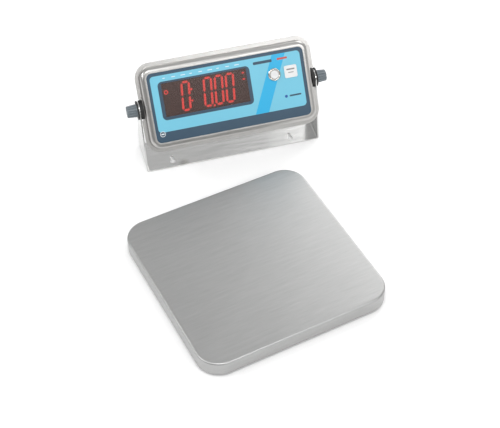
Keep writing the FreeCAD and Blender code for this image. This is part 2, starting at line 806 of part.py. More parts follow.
# ---------------------------------------------------------------- stand
def makeStand():
    """Folded sheet stand: a flat web with two tapering arms that carry the tilt axis."""
    height = dim.axis_height + dim.arm_end_radius
    fold = newBody("stand_fold")
    outline = newSketch(fold, "outline", (0, 0, -dim.stand_depth / 2))
    drawRectangle(outline, standWidth, height * 2, dim.stand_bend)
    block = pad(fold, outline, dim.stand_depth)
    inside = newSketch(fold, "inside", (0, 0, -dim.stand_depth / 2))
    drawRectangle(inside, standWidth - dim.stand_sheet * 2, (height - dim.stand_sheet) * 2,
                  dim.stand_bend - dim.stand_sheet)
    pocket(fold, inside, dim.stand_depth, "inside_cut", upwards=True)
    fold.Placement = FreeCAD.Placement(
        FreeCAD.Vector(0, 0, height.value), FreeCAD.Rotation(across, 90))
    profile = document.addObject("Sketcher::SketchObject", "arm_profile")
    drawArm(profile)
    prism = document.addObject("Part::Extrusion", "arm_prism")
    prism.Base = profile
    prism.DirMode = "Custom"
    prism.Dir = FreeCAD.Vector(0, 0, 1)
    prism.Solid = True
    bind(prism, "LengthFwd", standWidth)
    prism.Placement = FreeCAD.Placement(
        FreeCAD.Vector(-standWidth.value / 2, 0, 0),
        FreeCAD.Rotation(FreeCAD.Vector(0, 1, 0), upward, across))
    shape = document.addObject("Part::MultiCommon", "stand_sheet_shape")
    shape.Shapes = [fold, prism]
    tools = []
    pivot = cylinder("arm_bore", dim.stud_radius + dim.stud_gap, standWidth + 2,
                     (-standWidth / 2 - 1, 0, dim.axis_height), lie=90)
    tools.append(pivot)
    front = dim.keyhole_front - dim.stand_depth / 2
    for index, side in enumerate((-1, 1)):
        x = (standWidth / 2 - dim.keyhole_inset) * side
        tools.append(cylinder(f"keyhole_eye{index}", dim.keyhole_radius, dim.stand_sheet * 2,
                              (x, front, -dim.stand_sheet / 2)))
        tools.append(box(f"keyhole_run{index}",
                         (dim.keyhole_slot * 2, dim.keyhole_run, dim.stand_sheet * 2),
                         (x - dim.keyhole_slot, front, -dim.stand_sheet / 2)))
        tools.append(cylinder(f"keyhole_end{index}", dim.keyhole_slot, dim.stand_sheet * 2,
                              (x, front + dim.keyhole_run, -dim.stand_sheet / 2)))
    holes = fuse("stand_holes", tools)
    keep(cut("u_bracket", shape, holes), standFrame)


def drawArm(sketch):
    """Arm outline, across the stand's depth: a wide foot that tapers to a round end."""
    half = dim.stand_depth.value / 2
    top = dim.axis_height.value
    end = dim.arm_end_radius.value
    reach = math.hypot(half, top)
    slope = math.atan2(top, half) + math.asin(end / reach)
    touch = math.sqrt(reach * reach - end * end)
    left = FreeCAD.Vector(-half + touch * math.cos(slope), touch * math.sin(slope), 0)
    right = FreeCAD.Vector(-left.x, left.y, 0)
    footLeft = FreeCAD.Vector(-half, 0, 0)
    footRight = FreeCAD.Vector(half, 0, 0)
    crown = FreeCAD.Vector(0, top + end, 0)
    sketch.addGeometry(Part.LineSegment(footLeft, footRight), False)
    sketch.addGeometry(Part.LineSegment(footRight, right), False)
    sketch.addGeometry(Part.Arc(right, crown, left), False)
    sketch.addGeometry(Part.LineSegment(left, footLeft), False)
    sketch.addConstraint(Sketcher.Constraint("Coincident", 0, 2, 1, 1))
    sketch.addConstraint(Sketcher.Constraint("Coincident", 3, 2, 0, 1))
    sketch.addConstraint(Sketcher.Constraint("Tangent", 1, 2, 2, 1))
    sketch.addConstraint(Sketcher.Constraint("Tangent", 2, 2, 3, 1))
    sketch.addConstraint(Sketcher.Constraint("Symmetric", 0, 1, 0, 2, -1, 1))
    sketch.addConstraint(Sketcher.Constraint("PointOnObject", 0, 1, -1))
    sketch.addConstraint(Sketcher.Constraint("PointOnObject", 2, 3, -2))
    drive(sketch, "DistanceX", 0, 1, 0, 2, dim.stand_depth)
    drive(sketch, "DistanceY", -1, 1, 2, 3, dim.axis_height)
    drive(sketch, "Radius", 2, dim.arm_end_radius)


# ---------------------------------------------------------------- head shells
def marginSketch(body, name, margin, level):
    """Rounded outline that follows the panel's edge at a distance."""
    outline = newSketch(body, name, (0, 0, level))
    drawRectangle(outline, dim.panel_width + margin * 2, dim.panel_height + margin * 2,
                  dim.panel_corner + margin)
    return outline


def cutNotches(body, level, depth):
    """Makes room beside the flange for the two friction discs."""
    width = dim.flange_margin * 2
    for index, side in enumerate((-1, 1)):
        notch = newSketch(body, f"notch{index}", ((rearSide + width / 2) * side, 0, level))
        drawRectangle(notch, width, (dim.disc_radius + dim.notch_gap) * 2)
        pocket(body, notch, depth, f"notch_cut{index}", upwards=True)


def makeFrontShell():
    body = newBody("front_shell")
    pad(body, marginSketch(body, "flange", dim.flange_margin, flangeBack), dim.head_sheet, "flange_pad")
    pad(body, marginSketch(body, "pan", dim.pan_margin, flangeBack), faceLevel - flangeBack, "pan_pad")
    hollow = marginSketch(body, "hollow", dim.pan_margin - dim.head_sheet, flangeBack)
    shell = pocket(body, hollow, faceInside - flangeBack, "hollow_cut", upwards=True)
    inner = roundEdges(body, shell, dim.pan_round - dim.head_sheet, flatAt(faceInside))
    roundEdges(body, inner, dim.pan_round, flatAt(faceLevel))
    pocket(body, marginSketch(body, "recess", dim.film_gap, filmLow), dim.panel_film,
           "recess_cut", upwards=True)
    window = newSketch(body, "window", (windowX, windowY, faceInside))
    drawRectangle(window, dim.window_width + dim.lens_gap * 2, dim.window_height + dim.lens_gap * 2)
    pocket(body, window, dim.face_sheet, "window_cut", upwards=True)
    drill(body, dim.button_barrel, (buttonX, buttonY), faceInside, dim.face_sheet, "button_hole")
    drill(body, dim.key_stem + dim.key_stem_gap, (keyX, keyY), faceInside, dim.face_sheet, "key_hole")
    cutNotches(body, flangeBack, dim.head_sheet)
    keep(body, headFrame)


def makeRearShell():
    body = newBody("rear_shell")
    pad(body, marginSketch(body, "flange", dim.flange_margin, rearFlangeBack), dim.head_sheet,
        "flange_pad")
    pad(body, marginSketch(body, "tub", dim.rear_margin, backLevel), sealBack - backLevel, "tub_pad")
    hollow = marginSketch(body, "hollow", dim.rear_margin - dim.head_sheet, backInside)
    shell = pocket(body, hollow, sealBack - backInside, "hollow_cut", upwards=True)
    inner = roundEdges(body, shell, dim.rear_round - dim.head_sheet, flatAt(backInside))
    roundEdges(body, inner, dim.rear_round, flatAt(backLevel))
    for index, place in enumerate(corners(postX, postY)):
        drill(body, dim.post_bore + dim.screw_clearance, place, backLevel, dim.head_sheet, f"lid{index}")
    drill(body, dim.gland_thread, (glandX, glandY), backLevel, dim.head_sheet, "gland_hole")
    drill(body, dim.inlet_thread, (inletX, glandY), backLevel, dim.head_sheet, "inlet_hole")
    pivot = newSketch(body, "pivot", (0, 0, -rearSide), "YZ_Plane")
    drawCircle(pivot, dim.insert_barrel)
    pocket(body, pivot, rearSide * 2, "pivot_cut", upwards=True)
    cutNotches(body, rearFlangeBack, dim.head_sheet)
    keep(body, headFrame)


def makeSeal():
    body = newBody("housing_seal")
    outer = dim.rear_margin
    pad(body, marginSketch(body, "outer", outer, sealBack), dim.seal_height)
    pocket(body, marginSketch(body, "inner", outer - dim.seal_width, sealBack), dim.seal_height,
           "inner_cut", upwards=True)
    keep(body, headFrame)


def makePanel():
    body = newBody("panel_overlay")
    outline = newSketch(body, "outline", (0, 0, filmLow))
    drawRectangle(outline, dim.panel_width, dim.panel_height, dim.panel_corner)
    pad(body, outline, dim.panel_film)
    window = newSketch(body, "window", (windowX, windowY, filmLow))
    drawRectangle(window, dim.window_width + dim.lens_gap * 2, dim.window_height + dim.lens_gap * 2)
    pocket(body, window, dim.panel_film, "window_cut", upwards=True)
    drill(body, dim.button_barrel, (buttonX, buttonY), filmLow, dim.panel_film, "button_hole")
    drill(body, dim.key_stem + dim.key_stem_gap, (keyX, keyY), filmLow, dim.panel_film, "key_hole")
    keep(body, headFrame)


def makeLens():
    body = plate("display_lens", dim.window_width + dim.lens_lip * 2,
                 dim.window_height + dim.lens_lip * 2, dim.lens_lip_depth, lensLipLow,
                 at=(windowX, windowY))
    step = newSketch(body, "step", (windowX, windowY, faceInside))
    drawRectangle(step, dim.window_width, dim.window_height)
    pad(body, step, dim.face_sheet + dim.panel_film, "step_pad")
    keep(body, headFrame)


# ---------------------------------------------------------------- head electronics
def makeDisplay():
    left = dim.digit_first - dim.panel_width / 2
    blocks = []
    for index in range(int(dim.digit_count.value)):
        middle = left + dim.digit_pitch * index
        blocks.append(box(f"digit_block{index}",
                          (dim.digit_width, dim.digit_height, dim.digit_depth),
                          (middle - dim.digit_width / 2, windowY - dim.digit_height / 2,
                           displayBoardTop)))
    keep(group("digit_blocks", blocks), headFrame)
    width = boardWidth(dim.window_width)
    height = boardWidth(dim.window_height) - dim.standoff_radius * 2 - dim.board_margin
    board = plate("display_board", width, height, dim.board_thick, displayBoardLow,
                  at=(windowX, windowY))
    posts = []
    screws = []
    x = width / 2 - dim.standoff_radius - dim.board_edge
    y = height / 2 - dim.standoff_radius - dim.board_edge
    for index, (dx, dy) in enumerate(corners(x, y)):
        at = (windowX + dx, windowY + dy)
        drill(board, dim.standoff_bore + dim.screw_clearance, at, displayBoardLow, dim.board_thick,
              f"hole{index}")
        post = cylinder(f"display_post_rod{index}", dim.standoff_radius,
                        faceInside - displayBoardTop, (*at, displayBoardTop))
        bore = cylinder(f"display_post_bore{index}", dim.standoff_bore,
                        dim.digit_depth - dim.display_post_floor, (*at, displayBoardTop))
        posts.append(cut(f"display_post{index}", post, bore))
        screws.append(screw(f"display_screw{index}", dim.standoff_bore,
                            dim.board_thick + dim.display_screw_bite, (*at, displayBoardLow), 1))
    keep(board, headFrame)
    keep(group("display_posts", posts), headFrame)
    keep(group("display_screws", screws), headFrame)


def boardWidth(window):
    """Board size that leaves room outside the lens for its posts."""
    return window + dim.lens_lip * 2 + dim.standoff_radius * 4 + dim.board_margin


def screw(name, radius, length, at, side):
    """A pan-head screw: the shank runs up (1) or down (-1) from the head's underside."""
    x, y, z = at
    headHeight = radius * dim.pan_head_height.value
    shank = cylinder(f"{name}_shank", radius, length, (x, y, z if side > 0 else z - length))
    head = cylinder(f"{name}_head", radius * dim.pan_head_width.value, headHeight,
                    (x, y, z - headHeight if side > 0 else z))
    return fuse(name, [shank, head])


def makeMainBoard():
    width = dim.panel_width - dim.main_board_short
    board = plate("main_board", width, dim.main_board_height, dim.board_thick,
                  mainBoardLow)
    x = width / 2 - dim.standoff_radius - dim.main_post_inset
    y = dim.main_board_height / 2 - dim.standoff_radius - dim.main_post_inset
    posts = []
    screws = []
    for index, at in enumerate(corners(x, y)):
        drill(board, dim.standoff_bore + dim.screw_clearance, at, mainBoardLow, dim.board_thick,
              f"hole{index}")
        length = mainBoardLow - backInside
        post = cylinder(f"board_post_rod{index}", dim.standoff_radius, length, (*at, backInside))
        bore = cylinder(f"board_post_bore{index}", dim.standoff_bore, dim.main_post_bore,
                        (*at, mainBoardLow - dim.main_post_bore))
        posts.append(cut(f"board_post{index}", post, bore))
        screws.append(screw(f"board_screw{index}", dim.standoff_bore,
                            dim.board_thick + dim.main_screw_bite, (*at, mainBoardTop), -1))
    keep(board, headFrame)
    keep(group("board_posts", posts), headFrame)
    keep(group("board_screws", screws), headFrame)
    # the supply block and the two terminal strips sit on the back of the board
    supply = box("supply_case", (dim.supply_width, dim.supply_depth, dim.supply_height),
                 (dim.supply_x, dim.supply_y, mainBoardLow - dim.supply_height))
    keep(group("supply_block", [supply]), headFrame)
    strips = [box(f"terminal_strip{index}", (dim.strip_width, dim.strip_depth, dim.strip_height),
                  (left, dim.strip_y, mainBoardLow - dim.strip_height))
              for index, left in enumerate((glandX - dim.strip_width / 2, inletX + dim.strip_shift))]
    keep(group("terminal_strips", strips), headFrame)
    chip = box("chip_case", (dim.chip_side, dim.chip_side, dim.chip_height),
               (dim.chip_x, dim.chip_y, mainBoardLow - dim.chip_height))
    keep(group("processor_chip", [chip]), headFrame)


def makeButton():
    lip = dim.button_radius
    low = faceLevel - dim.button_barrel_length
    bore = dim.button_cap + dim.button_cap_gap
    slope = dim.button_rise - dim.button_shoulder
    bezel = turned("button_bezel", [
        (bore, low), (dim.button_barrel, low), (dim.button_barrel, faceLevel), (lip, faceLevel),
        (lip, faceLevel + dim.button_shoulder), (lip - slope, faceLevel + dim.button_rise),
        (bore, faceLevel + dim.button_rise),
    ])
    keep(bezel, headFrame * offset(buttonX, buttonY))
    capLow = faceLevel - dim.button_cap_depth
    capTop = faceLevel + dim.button_rise + dim.button_cap_proud
    cap = turned("power_button", [
        (0, capLow), (dim.button_cap, capLow), (dim.button_cap, faceLevel + dim.button_rise),
        (dim.button_cap - dim.button_cap_edge, capTop), (0, capTop),
    ])
    keep(cap, headFrame * offset(buttonX, buttonY))
    switchTop = capLow - dim.button_travel - dim.switch_gap
    switch = disc("power_switch", bore, switchTop - low + dim.switch_length, low - dim.switch_length)
    keep(switch, headFrame * offset(buttonX, buttonY))
    nut = hexRing("button_nut", dim.button_nut_radius, dim.button_barrel, dim.button_nut_thick,
                  (0, 0, faceInside - dim.button_nut_thick))
    keep(nut, headFrame * offset(buttonX, buttonY))


def offset(x, y):
    return FreeCAD.Placement(FreeCAD.Vector(asSize(x).value, asSize(y).value, 0), FreeCAD.Rotation())


def makeKey():
    top = faceLevel + dim.key_rise
    thick = dim.key_rise - dim.key_travel - dim.key_gap
    key = newBody("tare_key")
    stemLow = faceInside - dim.key_stem_reach
    stem = newSketch(key, "stem", (0, 0, stemLow))
    drawCircle(stem, dim.key_stem)
    pad(key, stem, top - thick - stemLow, "stem_pad")
    cap = newSketch(key, "cap", (0, 0, top - thick))
    drawRectangle(cap, dim.key_width, dim.key_height, dim.key_corner)
    pad(key, cap, thick, "cap_pad")
    keep(key, headFrame * offset(keyX, keyY))
    switchTop = stemLow - dim.key_travel - dim.key_gap
    switchLow = switchTop - dim.key_switch_height
    side = dim.key_switch_side
    switch = box("key_switch_case", (side, side, dim.key_switch_height), (-side / 2, -side / 2, switchLow))
    keep(group("key_switch", [switch]), headFrame * offset(keyX, keyY))
    board = plate("key_board", dim.key_board_width, dim.key_board_height, dim.board_thick,
                  switchLow - dim.board_thick)
    keep(board, headFrame * offset(keyX, keyY))
    posts = [cylinder(f"key_post{index}", dim.standoff_radius, faceInside - switchLow, (0, y, switchLow))
             for index, y in enumerate((-dim.key_post_reach, dim.key_post_reach))]
    keep(group("key_posts", posts), headFrame * offset(keyX, keyY))


# ---------------------------------------------------------------- head fastening and outlets
def makeLid():
    posts = []
    screws = []
    seals = []
    for index, (x, y) in enumerate(corners(postX, postY)):
        rod = cylinder(f"lid_post_rod{index}", dim.post_radius, faceInside - backInside,
                       (x, y, backInside))
        bore = cylinder(f"lid_post_bore{index}", dim.post_bore, dim.lid_screw_length, (x, y, backInside))
        posts.append(cut(f"lid_post{index}", rod, bore))
        sealLow = backLevel - dim.lid_seal_thick
        shank = cylinder(f"lid_screw_shank{index}", dim.post_bore, dim.lid_screw_length,
                         (x, y, sealLow))
        head = cylinder(f"lid_screw_head{index}", dim.lid_screw_head, dim.lid_screw_head_height,
                        (x, y, sealLow - dim.lid_screw_head_height))
        screws.append(fuse(f"lid_screw{index}", [shank, head]))
        ring = cylinder(f"lid_seal_ring{index}", dim.lid_screw_head + dim.lid_seal_rim,
                        dim.lid_seal_thick, (x, y, sealLow))
        hole = cylinder(f"lid_seal_hole{index}", dim.post_bore + dim.screw_clearance,
                        dim.lid_seal_thick, (x, y, sealLow))
        seals.append(cut(f"lid_seal{index}", ring, hole))
    keep(group("lid_posts", posts), headFrame)
    keep(group("lid_screws", screws), headFrame)
    keep(group("lid_seals", seals), headFrame)


def makeOutlets():
    """Cable gland and supply inlet in the back, each with its nut inside the shell."""
    for label, x, thread, bore, reach in (
            ("cable_gland", glandX, dim.gland_thread, dim.gland_bore, dim.gland_reach),
            ("supply_inlet", inletX, dim.inlet_thread, dim.inlet_bore, dim.gland_reach / 3)):
        stem = cylinder(f"{label}_stem", thread, dim.head_sheet + dim.outlet_inside, (x, glandY, backLevel))
        hexagon = document.addObject("Part::Prism", f"{label}_hexagon")
        hexagon.Polygon = 6
        bind(hexagon, "Circumradius", thread + dim.outlet_hex_rim)
        bind(hexagon, "Height", reach / 2)
        dome = document.addObject("Part::Cone", f"{label}_dome")
        bind(dome, "Radius1", thread * dim.outlet_dome_tip.value)
        bind(dome, "Radius2", thread + dim.outlet_dome_rim)
        bind(dome, "Height", reach / 2)
        for shape, low in ((hexagon, backLevel - reach / 2), (dome, backLevel - reach)):
            bind(shape, "Placement.Base.x", x)
            bind(shape, "Placement.Base.y", glandY)
            bind(shape, "Placement.Base.z", low)
        hole = cylinder(f"{label}_bore", bore, reach + dim.head_sheet + dim.outlet_inside,
                        (x, glandY, backLevel - reach))
        keep(cut(label, fuse(f"{label}_body", [stem, hexagon, dome]), hole), headFrame)
        keep(hexRing(f"{label}_nut", thread + dim.outlet_nut_rim, thread, dim.outlet_nut_thick,
                     (x, glandY, backInside)), headFrame)


# ---------------------------------------------------------------- tilt clamps
def makeClamps():
    inserts = []
    discs = []
    wall = dim.head_sheet
    bore = dim.stud_radius + dim.stud_gap
    for side, name in ((-1, "left"), (1, "right")):
        frame = sideFrame(side)
        thick = armInside - dim.disc_gap - rearSide
        plug = turned(f"pivot_insert_{name}", [
            (bore, rearSide - wall - dim.insert_length),
            (dim.insert_barrel, rearSide - wall - dim.insert_length),
            (dim.insert_barrel, rearSide - wall - dim.insert_flange_thick),
            (dim.insert_flange, rearSide - wall - dim.insert_flange_thick),
            (dim.insert_flange, rearSide - wall), (dim.insert_barrel, rearSide - wall),
            (dim.insert_barrel, rearSide), (bore, rearSide),
        ])
        plug.Placement = headFrame.inverse() * frame
        inserts.append(plug)
        ring = disc(f"friction_disc_{name}", dim.disc_radius, thick, rearSide, bore=bore)
        ring.Placement = headFrame.inverse() * frame
        discs.append(ring)
        washerLow = armOutside + dim.disc_gap
        keep(disc(f"{name}_outer_washer", dim.washer_radius, dim.washer_thick, washerLow, bore=bore),
             frame)
        knobLow = washerLow + dim.washer_thick
        stud = cylinder(f"{name}_knob_stud", dim.stud_radius,
                        knobLow + dim.knob_bore_depth - rearSide + dim.stud_grip,
                        (0, 0, rearSide - dim.stud_grip))
        holder = document.addObject("Part::Compound", f"{name}_stud")
        holder.Label = f"{name}_stud"
        holder.Links = [stud]
        keep(holder, frame)
        keep(makeKnob(f"{name}_knob", knobLow), frame)
    keep(group("pivot_inserts", inserts), headFrame)
    keep(group("friction_discs", discs), headFrame)


def makeKnob(label, low):
    """Tapered hand knob with flutes along its side and a blind bore for its stud."""
    edge = dim.knob_edge
    top = low + dim.knob_length
    knob = turned(label, [
        (0, low), (dim.knob_base, low), (dim.knob_tip, top - edge), (dim.knob_tip - edge, top), (0, top),
    ])
    flute = newSketch(knob, "flute", (dim.knob_base + dim.knob_flute_out, 0, low + dim.knob_flute_start))
    drawCircle(flute, dim.knob_flute_depth + dim.knob_flute_out)
    groove = pocket(knob, flute, dim.knob_length, "flute_cut", upwards=True)
    pattern = knob.newObject("PartDesign::PolarPattern", f"{label}_flutes")
    pattern.Originals = [groove]
    pattern.Axis = (originPlane(knob, "Z_Axis"), [""])
    pattern.Angle = 360
    bind(pattern, "Occurrences", dim.knob_flutes)
    knob.Tip = pattern
    document.recompute()
    bore = newSketch(knob, "bore", (0, 0, low))
    drawCircle(bore, dim.stud_radius)
    pocket(knob, bore, dim.knob_bore_depth, "bore_cut", upwards=True)
    return knob


# ---------------------------------------------------------------- build and write
def build():
    makePlatter()
    makeBasePan()
    makeFeet()
    makeLoadCell()
    makeSpacer("cell_foot_spacer", -1, baseTop)
    makeSpacer("cell_top_spacer", 1, cellTop)
    makeCellScrews("cell_base_screws", -1, dim.foot_rise, 1)
    makeCellScrews("cell_top_screws", 1, spiderTop, -1)
    makeGaugeCovers()
    makeSpider()
    makePlatterPads()
    makeStops()
    makePlatformGland()
    makeStand()
    makeFrontShell()
    makeRearShell()
    makeSeal()
    makePanel()
    makeLens()
    makeDisplay()
    makeMainBoard()
    makeButton()
    makeKey()
    makeLid()
    makeOutlets()
    makeClamps()
    document.recompute()


def check():
    """Stops if any object failed or any piece isn't a valid set of solids."""
    for thing in document.Objects:
        if "Invalid" in thing.State or "Error" in thing.State:
            raise RuntimeError(f"{thing.Name} failed: {thing.State}")
    for piece in nodes:
        shape = piece.Shape
        if shape.isNull() or not shape.isValid() or not shape.Solids:
            raise RuntimeError(f"{piece.Label} has no valid solid")


def write():
    os.makedirs("parts", exist_ok=True)
    for piece in nodes:
        piece.Shape.exportStep(os.path.join("parts", f"{piece.Label}.step"))
        solids = piece.Shape.Solids
        print(f"{piece.Label:20s} {len(solids)} solid(s) {sum(s.Volume for s in solids):10.1f} mm3")


build()
check()
write()
print(len(nodes), "nodes")
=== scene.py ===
import bpy
import bmesh
import json
import math
from mathutils import Matrix, Quaternion, Vector


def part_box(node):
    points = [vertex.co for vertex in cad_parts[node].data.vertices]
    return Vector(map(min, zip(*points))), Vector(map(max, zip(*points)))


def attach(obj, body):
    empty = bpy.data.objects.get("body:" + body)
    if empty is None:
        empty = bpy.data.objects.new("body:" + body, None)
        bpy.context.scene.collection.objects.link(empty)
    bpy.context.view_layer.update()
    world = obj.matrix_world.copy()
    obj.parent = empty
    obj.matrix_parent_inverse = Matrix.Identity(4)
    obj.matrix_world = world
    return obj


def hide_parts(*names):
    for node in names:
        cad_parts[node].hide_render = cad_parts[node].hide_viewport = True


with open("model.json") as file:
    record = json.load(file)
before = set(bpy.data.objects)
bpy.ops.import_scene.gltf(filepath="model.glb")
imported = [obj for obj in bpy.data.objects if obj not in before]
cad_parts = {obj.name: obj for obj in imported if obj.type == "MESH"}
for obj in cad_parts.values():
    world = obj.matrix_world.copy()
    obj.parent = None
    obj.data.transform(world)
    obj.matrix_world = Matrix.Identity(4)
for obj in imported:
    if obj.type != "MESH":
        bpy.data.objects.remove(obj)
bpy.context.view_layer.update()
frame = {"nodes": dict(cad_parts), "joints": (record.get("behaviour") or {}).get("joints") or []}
print("frame loaded")

mm = 0.001
tiny = 1e-6    # points closer than this count as one
joints = {joint["name"]: joint for joint in frame["joints"]}


# each piece is drawn in the frame of the platform, the stand or the head
def makePlace(origin, xAxis, zAxis):
    yAxis = zAxis.cross(xAxis)
    place = Matrix((xAxis, yAxis, zAxis)).transposed().to_4x4()
    place.translation = origin
    return place


tiltPoint = Vector(joints["head_tilt"]["pos_m"])
tiltAxis = Vector(joints["head_tilt"]["axis"]).normalized()
outOfPanel = -Vector(joints["power_button_press"]["axis"]).normalized()
platterLow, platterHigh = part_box("platter")
platterX = (platterLow.x + platterHigh.x) / 2
platterY = (platterLow.y + platterHigh.y) / 2
platformPlace = Matrix.Translation((platterX, platterY, 0))
standPlace = makePlace(Vector((tiltPoint.x, tiltPoint.y, 0)), tiltAxis, Vector((0, 0, 1)))
headPlace = makePlace(tiltPoint, tiltAxis, outOfPanel)
sidePlaces = {    # the tilt axis as Z, pointing out through each arm
    "left": headPlace @ Matrix.Rotation(math.radians(-90), 4, "Y"),
    "right": headPlace @ Matrix.Rotation(math.radians(90), 4, "Y"),
}


def boxIn(place, node):
    # lowest and highest corner of a CAD node, measured in one of the places
    inward = place.inverted()
    points = [inward @ vertex.co for vertex in frame["nodes"][node].data.vertices]
    low = Vector([min(point[axis] for point in points) for axis in range(3)])
    high = Vector([max(point[axis] for point in points) for axis in range(3)])
    return low, high


def roundOff(bm, parts, radius, segments, affect):
    bmesh.ops.bevel(bm, geom=parts, offset=radius, offset_type="OFFSET", segments=segments,
                    profile=0.5, affect=affect, material=-1)


def startRounded(width, height, radius, segments):
    # one flat face with round corners, about the origin
    bm = bmesh.new()
    bmesh.ops.create_grid(bm, x_segments=1, y_segments=1, size=0.5)
    bmesh.ops.scale(bm, vec=(width, height, 1), verts=bm.verts)
    roundOff(bm, bm.verts[:], radius, segments, "VERTICES")
    return bm


def vertsOf(result):
    return [part for part in result["geom"] if isinstance(part, bmesh.types.BMVert)]


def raiseFaces(bm, depth):
    # the face becomes a closed block of this height
    raised = vertsOf(bmesh.ops.extrude_face_region(bm, geom=bm.faces[:]))
    bmesh.ops.translate(bm, vec=(0, 0, depth), verts=raised)
    bmesh.ops.recalc_face_normals(bm, faces=bm.faces)


def edgesAt(bm, height):
    return [edge for edge in bm.edges
            if all(abs(vertex.co.z - height) < tiny for vertex in edge.verts)]


def lathe(points, steps, rounding=0.0, closed=False):
    # spins a profile of (radius, height) points about Z, its free corners rounded
    bm = bmesh.new()
    vertices = [bm.verts.new((radius, 0, height)) for radius, height in points]
    for first, second in zip(vertices, vertices[1:]):
        bm.edges.new((first, second))
    if closed:
        bm.edges.new((vertices[-1], vertices[0]))
    if rounding:
        corners = vertices if closed else vertices[1:-1]
        roundOff(bm, corners, rounding, 3, "VERTICES")
    bmesh.ops.spin(bm, geom=bm.verts[:] + bm.edges[:], cent=(0, 0, 0), axis=(0, 0, 1),
                   angle=math.tau, steps=steps, use_merge=True)
    bmesh.ops.remove_doubles(bm, verts=bm.verts, dist=tiny)
    bmesh.ops.recalc_face_normals(bm, faces=bm.faces)
    return bm


def keepPiece(name, bm, place, body, material, replaced=(), sharpAngle=35):
    bmesh.ops.transform(bm, matrix=place, verts=bm.verts)
    mesh = bpy.data.meshes.new(name)
    bm.to_mesh(mesh)
    bm.free()
    mesh.shade_smooth()
    mesh.set_sharp_from_angle(angle=math.radians(sharpAngle))
    mesh.materials.append(material)
    piece = bpy.data.objects.new(name, mesh)
    bpy.context.scene.collection.objects.link(piece)
    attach(piece, body)
    if replaced:
        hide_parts(*replaced)
    return piece


def fillSockets(tree, node, inputs):
    # another node's socket is linked, anything else is the socket's own value
    for key, value in inputs.items():
        if isinstance(value, bpy.types.NodeSocket):
            tree.links.new(value, node.inputs[key])
        else:
            node.inputs[key].default_value = value


def addNode(tree, kind, inputs=None, **settings):
    node = tree.nodes.new(kind)
    for name, value in settings.items():
        setattr(node, name, value)
    fillSockets(tree, node, inputs or {})
    return node


def calc(tree, operation, first, second=0.0, clamp=False):
    node = addNode(tree, "ShaderNodeMath", {0: first, 1: second}, operation=operation,
                   use_clamp=clamp)
    return node.outputs[0]


def mixColour(tree, factor, first, second):
    node = addNode(tree, "ShaderNodeMix", {0: factor, 6: first, 7: second}, data_type="RGBA")
    return node.outputs[2]


def remap(tree, value, low, high):
    # a 0 to 1 value becomes low to high
    node = addNode(tree, "ShaderNodeMapRange", {"Value": value, "To Min": low, "To Max": high})
    return node.outputs[0]


vectorSocket = "NodeSocketVector"
floatSocket = "NodeSocketFloat"


def startGroup(name, inputs, outputs):
    tree = bpy.data.node_groups.new(name, "ShaderNodeTree")
    for socketName, kind, value in inputs:
        socket = tree.interface.new_socket(socketName, in_out="INPUT", socket_type=kind)
        if value is not None:
            socket.default_value = value
    for socketName, kind in outputs:
        tree.interface.new_socket(socketName, in_out="OUTPUT", socket_type=kind)
    inside = tree.nodes.new("NodeGroupInput")
    outside = tree.nodes.new("NodeGroupOutput")
    return tree, inside.outputs, outside.inputs


def useGroup(tree, group, inputs):
    node = addNode(tree, "ShaderNodeGroup", node_tree=group)
    fillSockets(tree, node, inputs)
    return node.outputs


# effects that several finishes share
effects = {
    "lineDetail": 3.0, "lineRoughness": 0.65,
    "bandLength": 0.4, "bandWidth": 0.045, "bandDetail": 2.0,    # as shares of a line's
    "edgeSamples": 6, "edgeGain": 8.0,
    "cloudDetail": 3.0, "cloudTwist": 0.4,
    "skinDetail": 2.0, "grainShare": 0.6,
    "inkEdge": 0.08 * mm,
}


def makeUnfold():
    # lays a folded sheet flat: walls continue the face that they hang from
    tree, given, result = startGroup("unfold sheet", [
        ("Position", vectorSocket, None), ("Normal", vectorSocket, None)],
        [("Vector", vectorSocket)])
    place = addNode(tree, "ShaderNodeSeparateXYZ", {0: given["Position"]}).outputs
    facing = addNode(tree, "ShaderNodeSeparateXYZ", {0: given["Normal"]}).outputs
    moved = {}
    for axis in (0, 1):
        drop = calc(tree, "MULTIPLY", place[2], facing[axis])
        moved[axis] = calc(tree, "SUBTRACT", place[axis], drop)
    flat = addNode(tree, "ShaderNodeCombineXYZ", moved)
    tree.links.new(flat.outputs[0], result["Vector"])
    return tree


def makeBrushed():
    # straight scratch lines of a given length and width, with wider bands below them
    tree, given, result = startGroup("brushed grain", [
        ("Vector", vectorSocket, None), ("Length", floatSocket, 0.04),
        ("Width", floatSocket, 0.0004)],
        [("Streak", floatSocket), ("Band", floatSocket)])
    along = calc(tree, "DIVIDE", 1.0, given["Length"])
    across = calc(tree, "DIVIDE", 1.0, given["Width"])
    stretch = addNode(tree, "ShaderNodeCombineXYZ", {0: along, 1: across, 2: across})
    lines = addNode(tree, "ShaderNodeMapping", {
        "Vector": given["Vector"], "Scale": stretch.outputs[0]})
    fine = addNode(tree, "ShaderNodeTexNoise", {
        "Vector": lines.outputs[0], "Scale": 1.0, "Detail": effects["lineDetail"],
        "Roughness": effects["lineRoughness"]})
    wideStretch = addNode(tree, "ShaderNodeCombineXYZ", {
        0: calc(tree, "MULTIPLY", along, effects["bandLength"]),
        1: calc(tree, "MULTIPLY", across, effects["bandWidth"]), 2: along})
    wide = addNode(tree, "ShaderNodeMapping", {
        "Vector": given["Vector"], "Scale": wideStretch.outputs[0]})
    bands = addNode(tree, "ShaderNodeTexNoise", {
        "Vector": wide.outputs[0], "Scale": 1.0, "Detail": effects["bandDetail"]})
    tree.links.new(fine.outputs[0], result["Streak"])
    tree.links.new(bands.outputs[0], result["Band"])
    return tree


